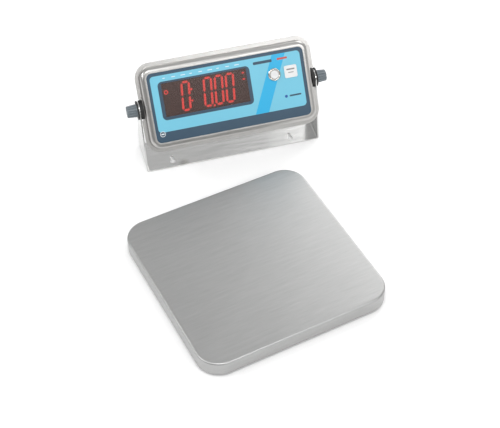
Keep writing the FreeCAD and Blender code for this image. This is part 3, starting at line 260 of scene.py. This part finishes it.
def makeEdges():
    # where the surface turns sharply: a mask for a painted highlight along the edge, and a normal
    # that softens the edge
    tree, given, result = startGroup("soft edges", [
        ("Radius", floatSocket, 0.0004), ("Highlight Share", floatSocket, 0.5)],
        [("Mask", floatSocket), ("Normal", vectorSocket)])
    soft = addNode(tree, "ShaderNodeBevel", {"Radius": given["Radius"]},
                   samples=effects["edgeSamples"])
    surface = addNode(tree, "ShaderNodeNewGeometry")
    alike = addNode(tree, "ShaderNodeVectorMath", {
        0: soft.outputs[0], 1: surface.outputs["Normal"]}, operation="DOT_PRODUCT")
    turned = calc(tree, "SUBTRACT", 1.0, alike.outputs["Value"])
    gained = calc(tree, "MULTIPLY", turned, effects["edgeGain"])
    mask = calc(tree, "MULTIPLY", gained, given["Highlight Share"], clamp=True)
    tree.links.new(mask, result["Mask"])
    tree.links.new(soft.outputs[0], result["Normal"])
    return tree


def makeSmudge():
    # slow, cloudy unevenness such as polish and handling leave
    tree, given, result = startGroup("handling marks", [
        ("Vector", vectorSocket, None), ("Size", floatSocket, 0.05)],
        [("Value", floatSocket)])
    scale = calc(tree, "DIVIDE", 1.0, given["Size"])
    cloud = addNode(tree, "ShaderNodeTexNoise", {
        "Vector": given["Vector"], "Scale": scale, "Detail": effects["cloudDetail"],
        "Distortion": effects["cloudTwist"]})
    tree.links.new(cloud.outputs[0], result["Value"])
    return tree


def makeMoulded():
    # the fine bumpy skin of moulded plastic, rubber and castings
    tree, given, result = startGroup("moulded skin", [
        ("Vector", vectorSocket, None), ("Size", floatSocket, 0.0005)],
        [("Height", floatSocket)])
    scale = calc(tree, "DIVIDE", 1.0, given["Size"])
    grain = addNode(tree, "ShaderNodeTexNoise", {
        "Vector": given["Vector"], "Scale": scale, "Detail": effects["skinDetail"]})
    pores = addNode(tree, "ShaderNodeTexVoronoi", {"Vector": given["Vector"], "Scale": scale})
    bumps = calc(tree, "MULTIPLY", grain.outputs[0], effects["grainShare"])
    pits = calc(tree, "MULTIPLY", pores.outputs["Distance"], 1 - effects["grainShare"])
    tree.links.new(calc(tree, "ADD", bumps, pits), result["Height"])
    return tree


def makePrint():
    # mask of one printed patch: a rounded box that may lean, as a share of ink from 0 to 1
    tree, given, result = startGroup("printed patch", [
        ("Vector", vectorSocket, None), ("Centre", vectorSocket, (0, 0, 0)),
        ("Half", vectorSocket, (0.01, 0.01, 0)), ("Round", floatSocket, 0.001),
        ("Lean", floatSocket, 0.0)], [("Ink", floatSocket)])
    moved = addNode(tree, "ShaderNodeVectorMath", {0: given["Vector"], 1: given["Centre"]},
                    operation="SUBTRACT")
    place = addNode(tree, "ShaderNodeSeparateXYZ", {0: moved.outputs[0]})
    half = addNode(tree, "ShaderNodeSeparateXYZ", {0: given["Half"]})
    lean = calc(tree, "MULTIPLY", place.outputs[1], given["Lean"])
    leant = calc(tree, "SUBTRACT", place.outputs[0], lean)
    squares = []
    for axis, value in ((0, leant), (1, place.outputs[1])):
        reach = calc(tree, "SUBTRACT", half.outputs[axis], given["Round"])
        over = calc(tree, "SUBTRACT", calc(tree, "ABSOLUTE", value), reach)
        squares.append(calc(tree, "POWER", calc(tree, "MAXIMUM", over, 0.0), 2.0))
    distance = calc(tree, "SQRT", calc(tree, "ADD", *squares))
    past = calc(tree, "SUBTRACT", distance, given["Round"])
    ink = addNode(tree, "ShaderNodeMapRange", {
        "Value": past, "From Min": effects["inkEdge"], "From Max": -effects["inkEdge"]})
    tree.links.new(ink.outputs[0], result["Ink"])
    return tree


unfoldSheet = makeUnfold()
brushedGrain = makeBrushed()
softEdges = makeEdges()
handlingMarks = makeSmudge()
mouldedSkin = makeMoulded()
printedPatch = makePrint()
print("shared effects built")


def startMaterial(name, **sockets):
    material = bpy.data.materials.new(name)
    material.use_nodes = True
    tree = material.node_tree
    shader = tree.nodes["Principled BSDF"]
    for socketName, value in sockets.items():
        shader.inputs[socketName.replace("_", " ")].default_value = value
    return material, tree, shader


def coordsIn(tree, place):
    # position and normal on the piece, in the frame of its place
    coords = addNode(tree, "ShaderNodeTexCoord").outputs
    turn = place.to_euler()
    position = addNode(tree, "ShaderNodeMapping", {
        "Vector": coords["Object"], "Location": place.translation, "Rotation": turn},
        vector_type="TEXTURE")
    normal = addNode(tree, "ShaderNodeMapping", {"Vector": coords["Normal"], "Rotation": turn},
                     vector_type="TEXTURE")
    return position.outputs[0], normal.outputs[0]


def marksOn(tree, vector, size):
    return useGroup(tree, handlingMarks, {"Vector": vector, "Size": size})["Value"]


def skinOn(tree, vector, size):
    return useGroup(tree, mouldedSkin, {"Vector": vector, "Size": size})["Height"]


def addBump(tree, shader, height, strength, distance, base=None):
    inputs = {"Height": height, "Strength": strength, "Distance": distance}
    if base is not None:
        inputs["Normal"] = base
    bump = addNode(tree, "ShaderNodeBump", inputs)
    tree.links.new(bump.outputs[0], shader.inputs["Normal"])


def tone(level, tint=(1, 1, 1)):
    return (level * tint[0], level * tint[1], level * tint[2], 1)


# brushed sheet steel: dark and light are the ends of the grain's colours, and light is also
# painted along sharp edges as a highlight
steel = {"contrast": (-0.4, 1.4), "roughSpread": 0.08, "markSpread": 0.05, "bump": 0.1 * mm}
steelLooks = {
    "platter steel": {
        "place": platformPlace, "dark": (0.35, 0.352, 0.35, 1), "light": (0.54, 0.54, 0.535, 1),
        "rough": 0.38, "length": 0.028, "width": 0.00022, "bands": 0.22, "clouds": 0.09,
        "edge": 0.0004, "wear": 0.45, "depth": 0.35},
    "stand steel": {
        "place": standPlace, "dark": (0.50, 0.50, 0.495, 1), "light": (0.76, 0.76, 0.75, 1),
        "rough": 0.21, "length": 0.03, "width": 0.0003, "bands": 0.4, "clouds": 0.05,
        "edge": 0.0006, "wear": 0.8, "depth": 0.25},
    "rim steel": {
        "place": headPlace, "dark": (0.42, 0.415, 0.405, 1), "light": (0.55, 0.54, 0.525, 1),
        "rough": 0.31, "length": 0.02, "width": 0.00018, "bands": 0.15, "clouds": 0.03,
        "edge": 0.0005, "wear": 0.7, "depth": 0.035},
    "back steel": {
        "place": headPlace, "dark": (0.38, 0.38, 0.375, 1), "light": (0.58, 0.58, 0.57, 1),
        "rough": 0.33, "length": 0.03, "width": 0.0003, "bands": 0.3, "clouds": 0.05,
        "edge": 0.0004, "wear": 0.7, "depth": 0.2},
}


def brushedSteel(name, look):
    material, tree, shader = startMaterial(name, Metallic=1.0)
    position, normal = coordsIn(tree, look["place"])
    flat = useGroup(tree, unfoldSheet, {"Position": position, "Normal": normal})["Vector"]
    grain = useGroup(tree, brushedGrain, {
        "Vector": flat, "Length": look["length"], "Width": look["width"]})
    marks = marksOn(tree, position, look["clouds"])
    edges = useGroup(tree, softEdges, {"Radius": look["edge"], "Highlight Share": look["wear"]})
    fine = calc(tree, "MULTIPLY", grain["Streak"], 1 - look["bands"])
    wide = calc(tree, "MULTIPLY", grain["Band"], look["bands"])
    lines = calc(tree, "ADD", fine, wide)
    # the grain's colours, with light painted along sharp edges as a highlight
    grainAndHighlight = calc(tree, "MAXIMUM", remap(tree, lines, *steel["contrast"]), edges["Mask"],
                clamp=True)
    spread = steel["roughSpread"]
    rough = calc(tree, "ADD", remap(tree, lines, look["rough"] - spread, look["rough"] + spread),
                 remap(tree, marks, -steel["markSpread"], steel["markSpread"]))
    fillSockets(tree, shader, {
        "Base Color": mixColour(tree, grainAndHighlight, look["dark"], look["light"]), "Roughness": rough})
    addBump(tree, shader, lines, look["depth"], steel["bump"], edges["Normal"])
    return material


# even finishes: faint clouding, a fine skin and edges painted lighter as a highlight
metal = {"metallic": 1.0, "edge": 0.0002, "spread": 0.07, "coat": 0.0}
plastic = {"metallic": 0.0, "edge": 0.0003, "spread": 0.06, "coat": 0.0}
cool = (0.98, 1, 1.02)
warm = (1, 0.97, 0.92)
gold = (1, 0.96, 0.88)
milky = (0.99, 1, 1)
cream = (1, 0.98, 0.92)
evenBump = 0.2 * mm
evenLooks = {
    "zinc plated steel": {
        **metal, "dark": tone(0.42, cool), "light": tone(0.58, cool), "highlightColour": tone(0.75),
        "rough": 0.34, "clouds": 0.006, "skin": 0.0004, "wear": 0.6, "depth": 0.15},
    "cast aluminium": {
        **metal, "dark": tone(0.45), "light": tone(0.56), "highlightColour": tone(0.7),
        "rough": 0.5, "clouds": 0.03, "skin": 0.0009, "wear": 0.5, "depth": 0.5},
    "machined aluminium": {
        **metal, "dark": tone(0.55), "light": tone(0.68), "highlightColour": tone(0.82),
        "rough": 0.32, "clouds": 0.02, "skin": 0.0003, "wear": 0.6, "depth": 0.12},
    "nickel plated brass": {
        **metal, "dark": tone(0.50, warm), "light": tone(0.66, warm),
        "highlightColour": tone(0.8, (1, 0.95, 0.85)),
        "rough": 0.24, "clouds": 0.008, "skin": 0.0003, "wear": 0.6, "depth": 0.08},
    "bezel steel": {
        **metal, "dark": tone(0.60, gold), "light": tone(0.78, gold),
        "highlightColour": tone(0.9, gold),
        "rough": 0.16, "clouds": 0.005, "skin": 0.0003, "wear": 0.7, "depth": 0.05},
    "coated steel": {
        **metal, "metallic": 0.0, "dark": tone(0.10), "light": tone(0.14),
        "highlightColour": tone(0.24),
        "rough": 0.48, "clouds": 0.04, "skin": 0.0008, "wear": 0.4, "depth": 0.5},
    "black rubber": {
        **plastic, "dark": tone(0.010), "light": tone(0.020), "highlightColour": tone(0.05),
        "rough": 0.62, "clouds": 0.01, "skin": 0.0005, "wear": 0.5, "depth": 0.3},
    "grey sealant": {
        **plastic, "dark": tone(0.26), "light": tone(0.34), "highlightColour": tone(0.4),
        "edge": 0.0006,
        "rough": 0.55, "clouds": 0.008, "skin": 0.002, "wear": 0.3, "depth": 0.6},
    "knob plastic": {
        **plastic, "dark": (0.150, 0.178, 0.197, 1), "light": (0.195, 0.226, 0.248, 1),
        "highlightColour": (0.36, 0.40, 0.42, 1),
        "rough": 0.42, "clouds": 0.008, "skin": 0.0005, "wear": 0.6, "depth": 0.25},
    "white plastic": {
        **plastic, "dark": tone(0.74, milky), "light": tone(0.84, milky),
        "highlightColour": tone(0.9), "coat": 0.2,
        "rough": 0.34, "clouds": 0.006, "skin": 0.0005, "wear": 0.4, "depth": 0.12},
    "natural nylon": {
        **plastic, "dark": tone(0.66, cream), "light": tone(0.76, cream),
        "highlightColour": tone(0.85),
        "rough": 0.45, "clouds": 0.006, "skin": 0.0006, "wear": 0.4, "depth": 0.2},
    "black plastic": {
        **plastic, "dark": tone(0.014), "light": tone(0.022), "highlightColour": tone(0.06),
        "rough": 0.45, "clouds": 0.008, "skin": 0.0006, "wear": 0.5, "depth": 0.3},
    "unlit segments": {
        **plastic, "dark": (0.075, 0.022, 0.018, 1), "light": (0.095, 0.030, 0.024, 1),
        "highlightColour": (0.1, 0.04, 0.03, 1), "edge": 0.0002,
        "rough": 0.5, "clouds": 0.004, "skin": 0.0005, "wear": 0.3, "depth": 0.1},
}


def evenFinish(name, look):
    material, tree, shader = startMaterial(name, Metallic=look["metallic"],
                                           Coat_Weight=look["coat"])
    coords = addNode(tree, "ShaderNodeTexCoord").outputs["Object"]
    marks = marksOn(tree, coords, look["clouds"])
    edges = useGroup(tree, softEdges, {"Radius": look["edge"], "Highlight Share": look["wear"]})
    uneven = mixColour(tree, marks, look["dark"], look["light"])
    low = look["rough"] - look["spread"]
    high = look["rough"] + look["spread"]
    fillSockets(tree, shader, {
        # sharp edges take a lighter colour: a painted highlight
        "Base Color": mixColour(tree, edges["Mask"], uneven, look["highlightColour"]),
        "Roughness": remap(tree, marks, low, high)})
    addBump(tree, shader, skinOn(tree, coords, look["skin"]), look["depth"], evenBump,
            edges["Normal"])
    return material


# smoked display window: tinted, and only partly clear
window = {
    "index": 1.49, "coat": 0.3, "coatRough": 0.08, "dark": (0.070, 0.036, 0.030, 1),
    "light": (0.088, 0.048, 0.040, 1), "rough": (0.22, 0.32), "cover": (0.70, 0.74),
    "clouds": 0.02, "skin": 0.0012, "depth": 0.012, "bump": 0.1 * mm,
}


def smokedWindow(name):
    material, tree, shader = startMaterial(
        name, IOR=window["index"], Coat_Weight=window["coat"], Coat_Roughness=window["coatRough"])
    position, _ = coordsIn(tree, headPlace)
    marks = marksOn(tree, position, window["clouds"])
    fillSockets(tree, shader, {
        "Base Color": mixColour(tree, marks, window["dark"], window["light"]),
        "Roughness": remap(tree, marks, *window["rough"]),
        "Alpha": remap(tree, marks, *window["cover"])})
    addBump(tree, shader, skinOn(tree, position, window["skin"]), window["depth"],
            window["bump"])
    return material


# lit plastic, with slightly paler clouds in it
glow = {
    "colour": (1.0, 0.035, 0.030, 1), "core": (1.0, 0.06, 0.05, 1), "strength": 7.0,
    "rough": (0.4, 0.5), "clouds": 0.004,
}


def segmentGlow(name):
    material, tree, shader = startMaterial(name, Emission_Strength=glow["strength"])
    position, _ = coordsIn(tree, headPlace)
    marks = marksOn(tree, position, glow["clouds"])
    colour = mixColour(tree, marks, glow["colour"], glow["core"])
    fillSockets(tree, shader, {
        "Base Color": colour, "Emission Color": colour,
        "Roughness": remap(tree, marks, *glow["rough"])})
    return material


# solder mask with copper runs showing through
board = {
    "mask": (0.02, 0.13, 0.07, 1), "maskLight": (0.025, 0.16, 0.08, 1),
    "run": (0.06, 0.28, 0.12, 1), "scale": 260.0, "runWidth": 0.02, "length": 1.6,
    "pitch": 0.35, "rough": (0.35, 0.5), "clouds": 0.01, "depth": 0.3, "bump": 0.1 * mm,
}


def circuitBoard(name):
    material, tree, shader = startMaterial(name)
    position, _ = coordsIn(tree, headPlace)
    runs = addNode(tree, "ShaderNodeTexBrick", {
        "Vector": position, "Color1": board["mask"], "Color2": board["maskLight"],
        "Mortar": board["run"], "Scale": board["scale"], "Mortar Size": board["runWidth"],
        "Brick Width": board["length"], "Row Height": board["pitch"]})
    marks = marksOn(tree, position, board["clouds"])
    fillSockets(tree, shader, {
        "Base Color": runs.outputs["Color"], "Roughness": remap(tree, marks, *board["rough"])})
    addBump(tree, shader, runs.outputs["Fac"], board["depth"], board["bump"])
    return material


# the panel's prints: all places are measured from the panel's left and lower edges
panelLow, panelHigh = boxIn(headPlace, "panel_overlay")
film = {
    "coat": 0.25, "coatRough": 0.3, "rough": (0.34, 0.46), "clouds": 0.03, "skin": 0.0006,
    "depth": 0.12, "bump": 0.1 * mm,
}
panelColours = {
    "ground": (0.022, 0.062, 0.108, 1), "groundLight": (0.028, 0.074, 0.125, 1),
    "field": (0.172, 0.560, 0.735, 1), "accent": (0.008, 0.430, 0.760, 1),
    "pale": (0.80, 0.85, 0.87, 1), "red": (0.55, 0.07, 0.05, 1), "dot": (0.01, 0.09, 0.35, 1),
}
keyColours = {"ground": tone(0.76), "groundLight": tone(0.84)}
dashes = {
    "count": 9, "first": 25.0, "pitch": 14.6, "low": 100.2, "high": 101.3, "round": 0.5,
    "long": 4.0, "step": 1.8,
}


def spot(left, bottom):
    # a place on the panel, in millimetres from its left and lower edges
    return (panelLow.x + left * mm, panelLow.y + bottom * mm, 0)


def patch(left, bottom, right, top, rounding, colour, lean=0.0, within=None):
    corner = Vector(spot(left, bottom))
    far = Vector(spot(right, top))
    shape = {"Centre": (corner + far) / 2, "Half": (far - corner) / 2, "Round": rounding * mm,
             "Lean": lean}
    return {"shape": shape, "colour": colour, "within": within}


def printedFilm(name, look, prints):
    # polyester film: a ground colour with printed patches, one over the other
    material, tree, shader = startMaterial(name, Coat_Weight=film["coat"],
                                           Coat_Roughness=film["coatRough"])
    position, _ = coordsIn(tree, headPlace)
    marks = marksOn(tree, position, film["clouds"])
    colour = mixColour(tree, marks, look["ground"], look["groundLight"])
    for item in prints:
        ink = useGroup(tree, printedPatch, {"Vector": position, **item["shape"]})["Ink"]
        if item["within"]:
            limit = useGroup(tree, printedPatch, {"Vector": position, **item["within"]})["Ink"]
            ink = calc(tree, "MULTIPLY", ink, limit)
        colour = mixColour(tree, ink, colour, item["colour"])
    fillSockets(tree, shader, {
        "Base Color": colour, "Roughness": remap(tree, marks, *film["rough"])})
    addBump(tree, shader, skinOn(tree, position, film["skin"]), film["depth"], film["bump"])
    return material


field = patch(4.6, 16.2, 249.7, 106.0, 6.0, panelColours["field"])
panelPrints = [
    field,
    patch(184, 10, 206, 112, 0.5, panelColours["accent"], lean=0.45, within=field["shape"]),
    patch(15.3, 34.4, 164.7, 96.0, 7.0, panelColours["ground"]),      # round the window
    patch(172.0, 95.0, 203.0, 99.5, 1.5, panelColours["ground"]),     # bar over the button
    patch(211.5, 96.2, 228.5, 99.4, 1.2, panelColours["red"]),
    patch(215.6, 33.8, 220.4, 38.6, 2.4, panelColours["dot"]),
    patch(223.5, 34.8, 243.0, 37.4, 1.0, panelColours["ground"]),     # bar beside the dot
    patch(6.1, 9.1, 15.1, 18.1, 4.5, panelColours["pale"]),           # round emblem: ring,
    patch(6.9, 9.9, 14.3, 17.3, 3.7, panelColours["ground"]),         # ground
    patch(7.9, 12.6, 13.3, 14.6, 0.9, panelColours["pale"]),          # and bar
]
for index in range(dashes["count"]):
    left = dashes["first"] + index * dashes["pitch"]
    right = left + dashes["long"] + index % 3 * dashes["step"]
    panelPrints.append(patch(left, dashes["low"], right, dashes["high"], dashes["round"],
                             panelColours["pale"]))
keyPrints = [
    patch(224.2, 77.4, 237.8, 79.6, 1.0, tone(0.22)),
    patch(226.4, 72.6, 235.6, 74.2, 0.7, tone(0.36)),
]

finishes = {name: brushedSteel(name, look) for name, look in steelLooks.items()}
finishes.update({name: evenFinish(name, look) for name, look in evenLooks.items()})
finishes["smoked window"] = smokedWindow("smoked window")
finishes["lit segments"] = segmentGlow("lit segments")
finishes["board green"] = circuitBoard("board green")
finishes["printed film"] = printedFilm("printed film", panelColours, panelPrints)
finishes["key film"] = printedFilm("key film", keyColours, keyPrints)
print("materials built")


# weighing platter: one folded sheet, open below
platter = {"bend": 3.2 * mm, "corner": 36.0 * mm, "sheet": 1.2 * mm, "cornerSteps": 24,
           "bendSteps": 6}
platterSize = platterHigh - platterLow
bm = startRounded(platterSize.x, platterSize.y, platter["corner"], platter["cornerSteps"])
raiseFaces(bm, -platterSize.z)
underside = [face for face in bm.faces
             if all(vertex.co.z < -platterSize.z + tiny * 10 for vertex in face.verts)]
bmesh.ops.delete(bm, geom=underside, context="FACES_ONLY")
roundOff(bm, edgesAt(bm, 0), platter["bend"], platter["bendSteps"], "EDGES")
topPlace = platformPlace @ Matrix.Translation((0, 0, platterHigh.z))
cover = keepPiece("platter_cover", bm, topPlace, "platter_body",
                  finishes["platter steel"], ["platter"])
sheet = cover.modifiers.new("sheet", "SOLIDIFY")
sheet.thickness = platter["sheet"]
sheet.offset = -1
sheet.use_even_offset = True
cover.modifiers.new("normals", "WEIGHTED_NORMAL").keep_sharp = True
print("platter drawn")


# display: seven bars for each digit, with dots and signs between them, in millimetres
display = {
    "count": 6, "first": 39.9, "pitch": 18.05, "low": 42.5, "high": 90.2, "wide": 15.2,
    "stroke": 3.5, "gap": 1.9, "slant": 5.0, "barEnd": 0.49, "lit": (1, 3, 4, 5), "proud": 0.06,
    "colon": ((68.2, 75.4), (67.0, 57.5)), "point": (100.9, 43.3), "dotRadius": 1.9,
    "ring": (27.6, 77.8), "ringOuter": 3.6, "ringInner": 1.9, "dotSteps": 24,
    "signs": ((154.3, 86.0), (154.3, 75.9)), "signSize": (5.0, 2.6),
}
blockHigh = boxIn(headPlace, "digit_blocks")[1]


def joinInto(target, part, x, y, lean=0.0):
    # moves a small part to its place on the panel and adds it to the target
    shift = Vector(spot(x, y))
    for vertex in part.verts:
        vertex.co.x += vertex.co.y * lean
    bmesh.ops.translate(part, vec=(shift.x, shift.y, blockHigh.z), verts=part.verts)
    holder = bpy.data.meshes.new("part")
    part.to_mesh(holder)
    part.free()
    target.from_mesh(holder)
    bpy.data.meshes.remove(holder)


def makeBar(length, thick, upright, x, y):
    # a bar with pointed ends
    bar = startRounded(length * mm, thick * mm, thick * mm * display["barEnd"], 1)
    raiseFaces(bar, display["proud"] * mm)
    if upright:
        quarter = Matrix.Rotation(math.pi / 2, 3, "Z")
        bmesh.ops.rotate(bar, cent=(0, 0, 0), matrix=quarter, verts=bar.verts)
    bmesh.ops.translate(bar, vec=(x * mm, y * mm, 0), verts=bar.verts)
    return bar


def makeDigit(target, middle, bars):
    stroke = display["stroke"]
    across = display["wide"] - stroke
    down = (display["high"] - display["low"] - stroke) / 2
    long = across - display["gap"]
    tall = down - display["gap"]
    shapes = {    # length, upright, x, y
        "a": (long, False, 0, down), "g": (long, False, 0, 0), "d": (long, False, 0, -down),
        "f": (tall, True, -across / 2, down / 2), "b": (tall, True, across / 2, down / 2),
        "e": (tall, True, -across / 2, -down / 2), "c": (tall, True, across / 2, -down / 2),
    }
    height = (display["high"] + display["low"]) / 2
    lean = math.tan(math.radians(display["slant"]))
    for letter in bars:
        length, upright, x, y = shapes[letter]
        joinInto(target, makeBar(length, stroke, upright, x, y), middle, height, lean)


def makeDot(target, place, radius, inner=0.0):
    proud = display["proud"]
    dot = lathe([(inner, 0), (radius, 0), (radius, proud), (inner, proud)], display["dotSteps"],
                closed=inner > 0)
    bmesh.ops.scale(dot, vec=(mm, mm, mm), verts=dot.verts)
    bmesh.ops.remove_doubles(dot, verts=dot.verts, dist=tiny)
    joinInto(target, dot, *place)


lit = bmesh.new()
unlit = bmesh.new()
for index in range(display["count"]):
    middle = display["first"] + index * display["pitch"]
    makeDigit(lit if index in display["lit"] else unlit, middle, "abcdef")
    makeDigit(unlit, middle, "g")
for place in display["colon"]:
    makeDot(lit, place, display["dotRadius"])
makeDot(lit, display["point"], display["dotRadius"])
makeDot(lit, display["ring"], display["ringOuter"], display["ringInner"])
for place in display["signs"]:
    joinInto(lit, makeBar(*display["signSize"], False, 0, 0), *place)
keepPiece("lit_segments", lit, headPlace, "head", finishes["lit segments"])
keepPiece("unlit_segments", unlit, headPlace, "head", finishes["unlit segments"])
print("display drawn")


# power button: turned bezel and a slightly dished cap
button = {
    "left": 203.9, "bottom": 74.3,
    "rim": 10.4 * mm, "rimSide": 0.9 * mm, "rimSlope": 1.3 * mm, "barrel": 8.6 * mm,
    "gap": 0.25 * mm, "boreSlope": 1.1 * mm, "boreDrop": 1.0 * mm, "ringRound": 0.35 * mm,
    "cap": 7.0 * mm, "capLand": 1.2 * mm, "capDrop": 0.9 * mm, "capRound": 0.4 * mm,
    "dish": 0.5 * mm, "dishRise": 0.35 * mm, "dishShare": 0.55, "ringSteps": 96, "capSteps": 72,
}
bezelLow, bezelHigh = boxIn(headPlace, "button_bezel")
capLow, capHigh = boxIn(headPlace, "power_button")
buttonPlace = headPlace @ Matrix.Translation(spot(button["left"], button["bottom"]))
rim = button["rim"]
barrel = button["barrel"]
cap = button["cap"]
bore = cap + button["gap"]
face = panelHigh.z
ringProfile = [
    (bore, bezelLow.z), (barrel, bezelLow.z), (barrel, face), (rim, face),
    (rim, face + button["rimSide"]), (rim - button["rimSlope"], bezelHigh.z),
    (bore + button["boreSlope"], bezelHigh.z), (bore, bezelHigh.z - button["boreDrop"]),
]
bm = lathe(ringProfile, button["ringSteps"], button["ringRound"], closed=True)
keepPiece("button_ring", bm, buttonPlace, "head",
          finishes["bezel steel"], ["button_bezel"])
capProfile = [
    (0, capHigh.z - button["dish"]), (cap * button["dishShare"], capHigh.z - button["dishRise"]),
    (cap - button["capLand"], capHigh.z), (cap, capHigh.z - button["capDrop"]),
    (cap, capLow.z), (0, capLow.z),
]
bm = lathe(capProfile, button["capSteps"], button["capRound"])
keepPiece("button_cap", bm, buttonPlace, "power_button_body",
          finishes["white plastic"], ["power_button"])
print("button drawn")


# knobs: tapered, with ribs over a plain foot and a rounded tip
knob = {
    "ribs": 14, "steps": 6, "groove": 0.86, "grooveShare": 0.36, "tip": 0.89,
    "foot": 1.4 * mm, "ledge": 0.2 * mm, "edge": 1.2 * mm, "edgeSteps": 3, "sharp": 40,
}


def makeKnob(side):
    low, high = boxIn(sidePlaces[side], f"{side}_knob")
    radius = (high.y - low.y) / 2
    height = high.z - low.z
    bm = bmesh.new()
    bmesh.ops.create_circle(bm, cap_ends=True, segments=knob["ribs"] * knob["steps"],
                            radius=radius)
    raiseFaces(bm, knob["foot"])
    top = [face for face in bm.faces if face.calc_center_median().z > knob["foot"] - tiny]
    bmesh.ops.inset_region(bm, faces=top, thickness=knob["ledge"], use_even_offset=True)
    rising = vertsOf(bmesh.ops.extrude_face_region(bm, geom=top))
    buried = [face for face in top if face.is_valid]
    bmesh.ops.delete(bm, geom=buried, context="FACES_ONLY")
    bmesh.ops.translate(bm, vec=(0, 0, height - knob["foot"]), verts=rising)
    for vertex in bm.verts:
        inside = vertex.co.to_2d().length < radius - knob["ledge"] / 2
        if inside and vertex.co.z > knob["foot"] - tiny:
            share = math.atan2(vertex.co.y, vertex.co.x) / math.tau * knob["ribs"] % 1.0
            if share < knob["grooveShare"]:
                vertex.co.xy *= knob["groove"]
    bmesh.ops.scale(bm, vec=(knob["tip"], knob["tip"], 1), verts=rising)
    roundOff(bm, edgesAt(bm, height), knob["edge"], knob["edgeSteps"], "EDGES")
    bmesh.ops.recalc_face_normals(bm, faces=bm.faces)
    place = sidePlaces[side] @ Matrix.Translation((0, 0, low.z))
    keepPiece(f"{side}_knob_grip", bm, place, f"{side}_knob_body",
              finishes["knob plastic"], [f"{side}_knob"], sharpAngle=knob["sharp"])


for side in ("left", "right"):
    makeKnob(side)
print("knobs drawn")


# finishes of the pieces that keep their shape
slotFinishes = {
    "zinc_plated_steel": "zinc plated steel", "coated_steel": "coated steel",
    "cast_aluminium": "cast aluminium", "machined_aluminium": "machined aluminium",
    "black_rubber": "black rubber", "grey_sealant": "grey sealant",
    "led_red": "unlit segments", "board_green": "board green",
    "black_plastic": "black plastic", "grey_plastic": "knob plastic",
    "white_plastic": "white plastic", "nylon": "natural nylon",
    "chip_black": "black plastic", "nickel_brass": "nickel plated brass",
    "brushed_stainless": "back steel", "polished_stainless": "rim steel",
    "panel_film": "printed film", "smoked_window": "smoked window",
}
nodeFinishes = {"u_bracket": "stand steel", "tare_key": "key film"}
for name, node in frame["nodes"].items():
    for materialSlot in node.material_slots:
        slotName = materialSlot.material.name.split(".")[0]
        chosen = nodeFinishes.get(name, slotFinishes[slotName])
        materialSlot.material = finishes[chosen]
print("finishes given")


studio = {
    "floorSize": 6.0, "floorColour": tone(0.92), "floorRough": 0.8, "floorGlow": 0.12,
    "worldLow": 0.22, "worldHigh": 0.66, "brightSide": (0.74, 0.22, 0.64),
    "lights": [    # place, target, size, power
        ("key light", (1.35, 0.95, 1.15), (0.15, 0.05, 0), (1.1, 1.0), 11.0),
        ("back light", (0.3, 2.4, 1.3), (0, 0.1, 0.1), (1.6, 0.4), 1.2),
        ("side light", (-1.6, 0.35, 1.3), (0, 0, 0), (2.0, 0.22), 14.0),
        ("front light", (0.5, -1.7, 1.5), (0, 0, 0), (1.4, 0.25), 10.0),
        ("top light", (-0.5, -0.8, 2.4), (0, 0, 0), (0.9, 0.9), 17.0),
    ],
}


def makeFloor():
    bm = bmesh.new()
    bmesh.ops.create_grid(bm, x_segments=2, y_segments=2, size=studio["floorSize"])
    mesh = bpy.data.meshes.new("floor")
    bm.to_mesh(mesh)
    bm.free()
    floor = bpy.data.objects.new("floor", mesh)
    bpy.context.scene.collection.objects.link(floor)
    material = startMaterial(
        "pale floor", Base_Color=studio["floorColour"], Roughness=studio["floorRough"],
        Emission_Color=tone(1), Emission_Strength=studio["floorGlow"])[0]
    mesh.materials.append(material)


def makeLight(name, place, target, size, power):
    light = bpy.data.lights.new(name, "AREA")
    light.shape = "RECTANGLE"
    light.size, light.size_y = size
    light.energy = power
    lamp = bpy.data.objects.new(name, light)
    lamp.location = place
    aim = Vector(target) - Vector(place)
    lamp.rotation_euler = aim.to_track_quat("-Z", "Y").to_euler()
    bpy.context.scene.collection.objects.link(lamp)


def makeWorld():
    # pale all round, brighter on the key light's side and overhead
    world = bpy.data.worlds.new("studio")
    bpy.context.scene.world = world
    world.use_nodes = True
    tree = world.node_tree
    coords = addNode(tree, "ShaderNodeTexCoord")
    facing = addNode(tree, "ShaderNodeVectorMath", {
        0: coords.outputs["Generated"], 1: studio["brightSide"]}, operation="DOT_PRODUCT")
    strength = addNode(tree, "ShaderNodeMapRange", {
        "Value": facing.outputs["Value"], "From Min": -1.0, "To Min": studio["worldLow"],
        "To Max": studio["worldHigh"]}, interpolation_type="SMOOTHSTEP")
    fillSockets(tree, tree.nodes["Background"], {
        "Color": tone(1), "Strength": strength.outputs[0]})


makeFloor()
makeWorld()
for light in studio["lights"]:
    makeLight(*light)
bpy.context.scene.view_settings.view_transform = "Standard"

# the camera stands off the middle of the platter's top
view = {
    "offset": (-0.5545, -1.09096, 1.39889), "look": (0.30854, 0.61256, -0.72772),
    "roll": -0.913, "lens": 89.35, "sensor": 36,
}
cameraData = bpy.data.cameras.new("camera")
cameraData.lens = view["lens"]
cameraData.sensor_width = view["sensor"]
camera = bpy.data.objects.new("camera", cameraData)
aim = Vector(view["look"]).to_track_quat("-Z", "Y")
roll = Quaternion((0, 0, 1), math.radians(view["roll"]))
camera.location = Vector((platterX, platterY, platterHigh.z)) + Vector(view["offset"])
camera.rotation_euler = (aim @ roll).to_euler()
bpy.context.scene.collection.objects.link(camera)
bpy.context.scene.camera = camera
print("studio set up")
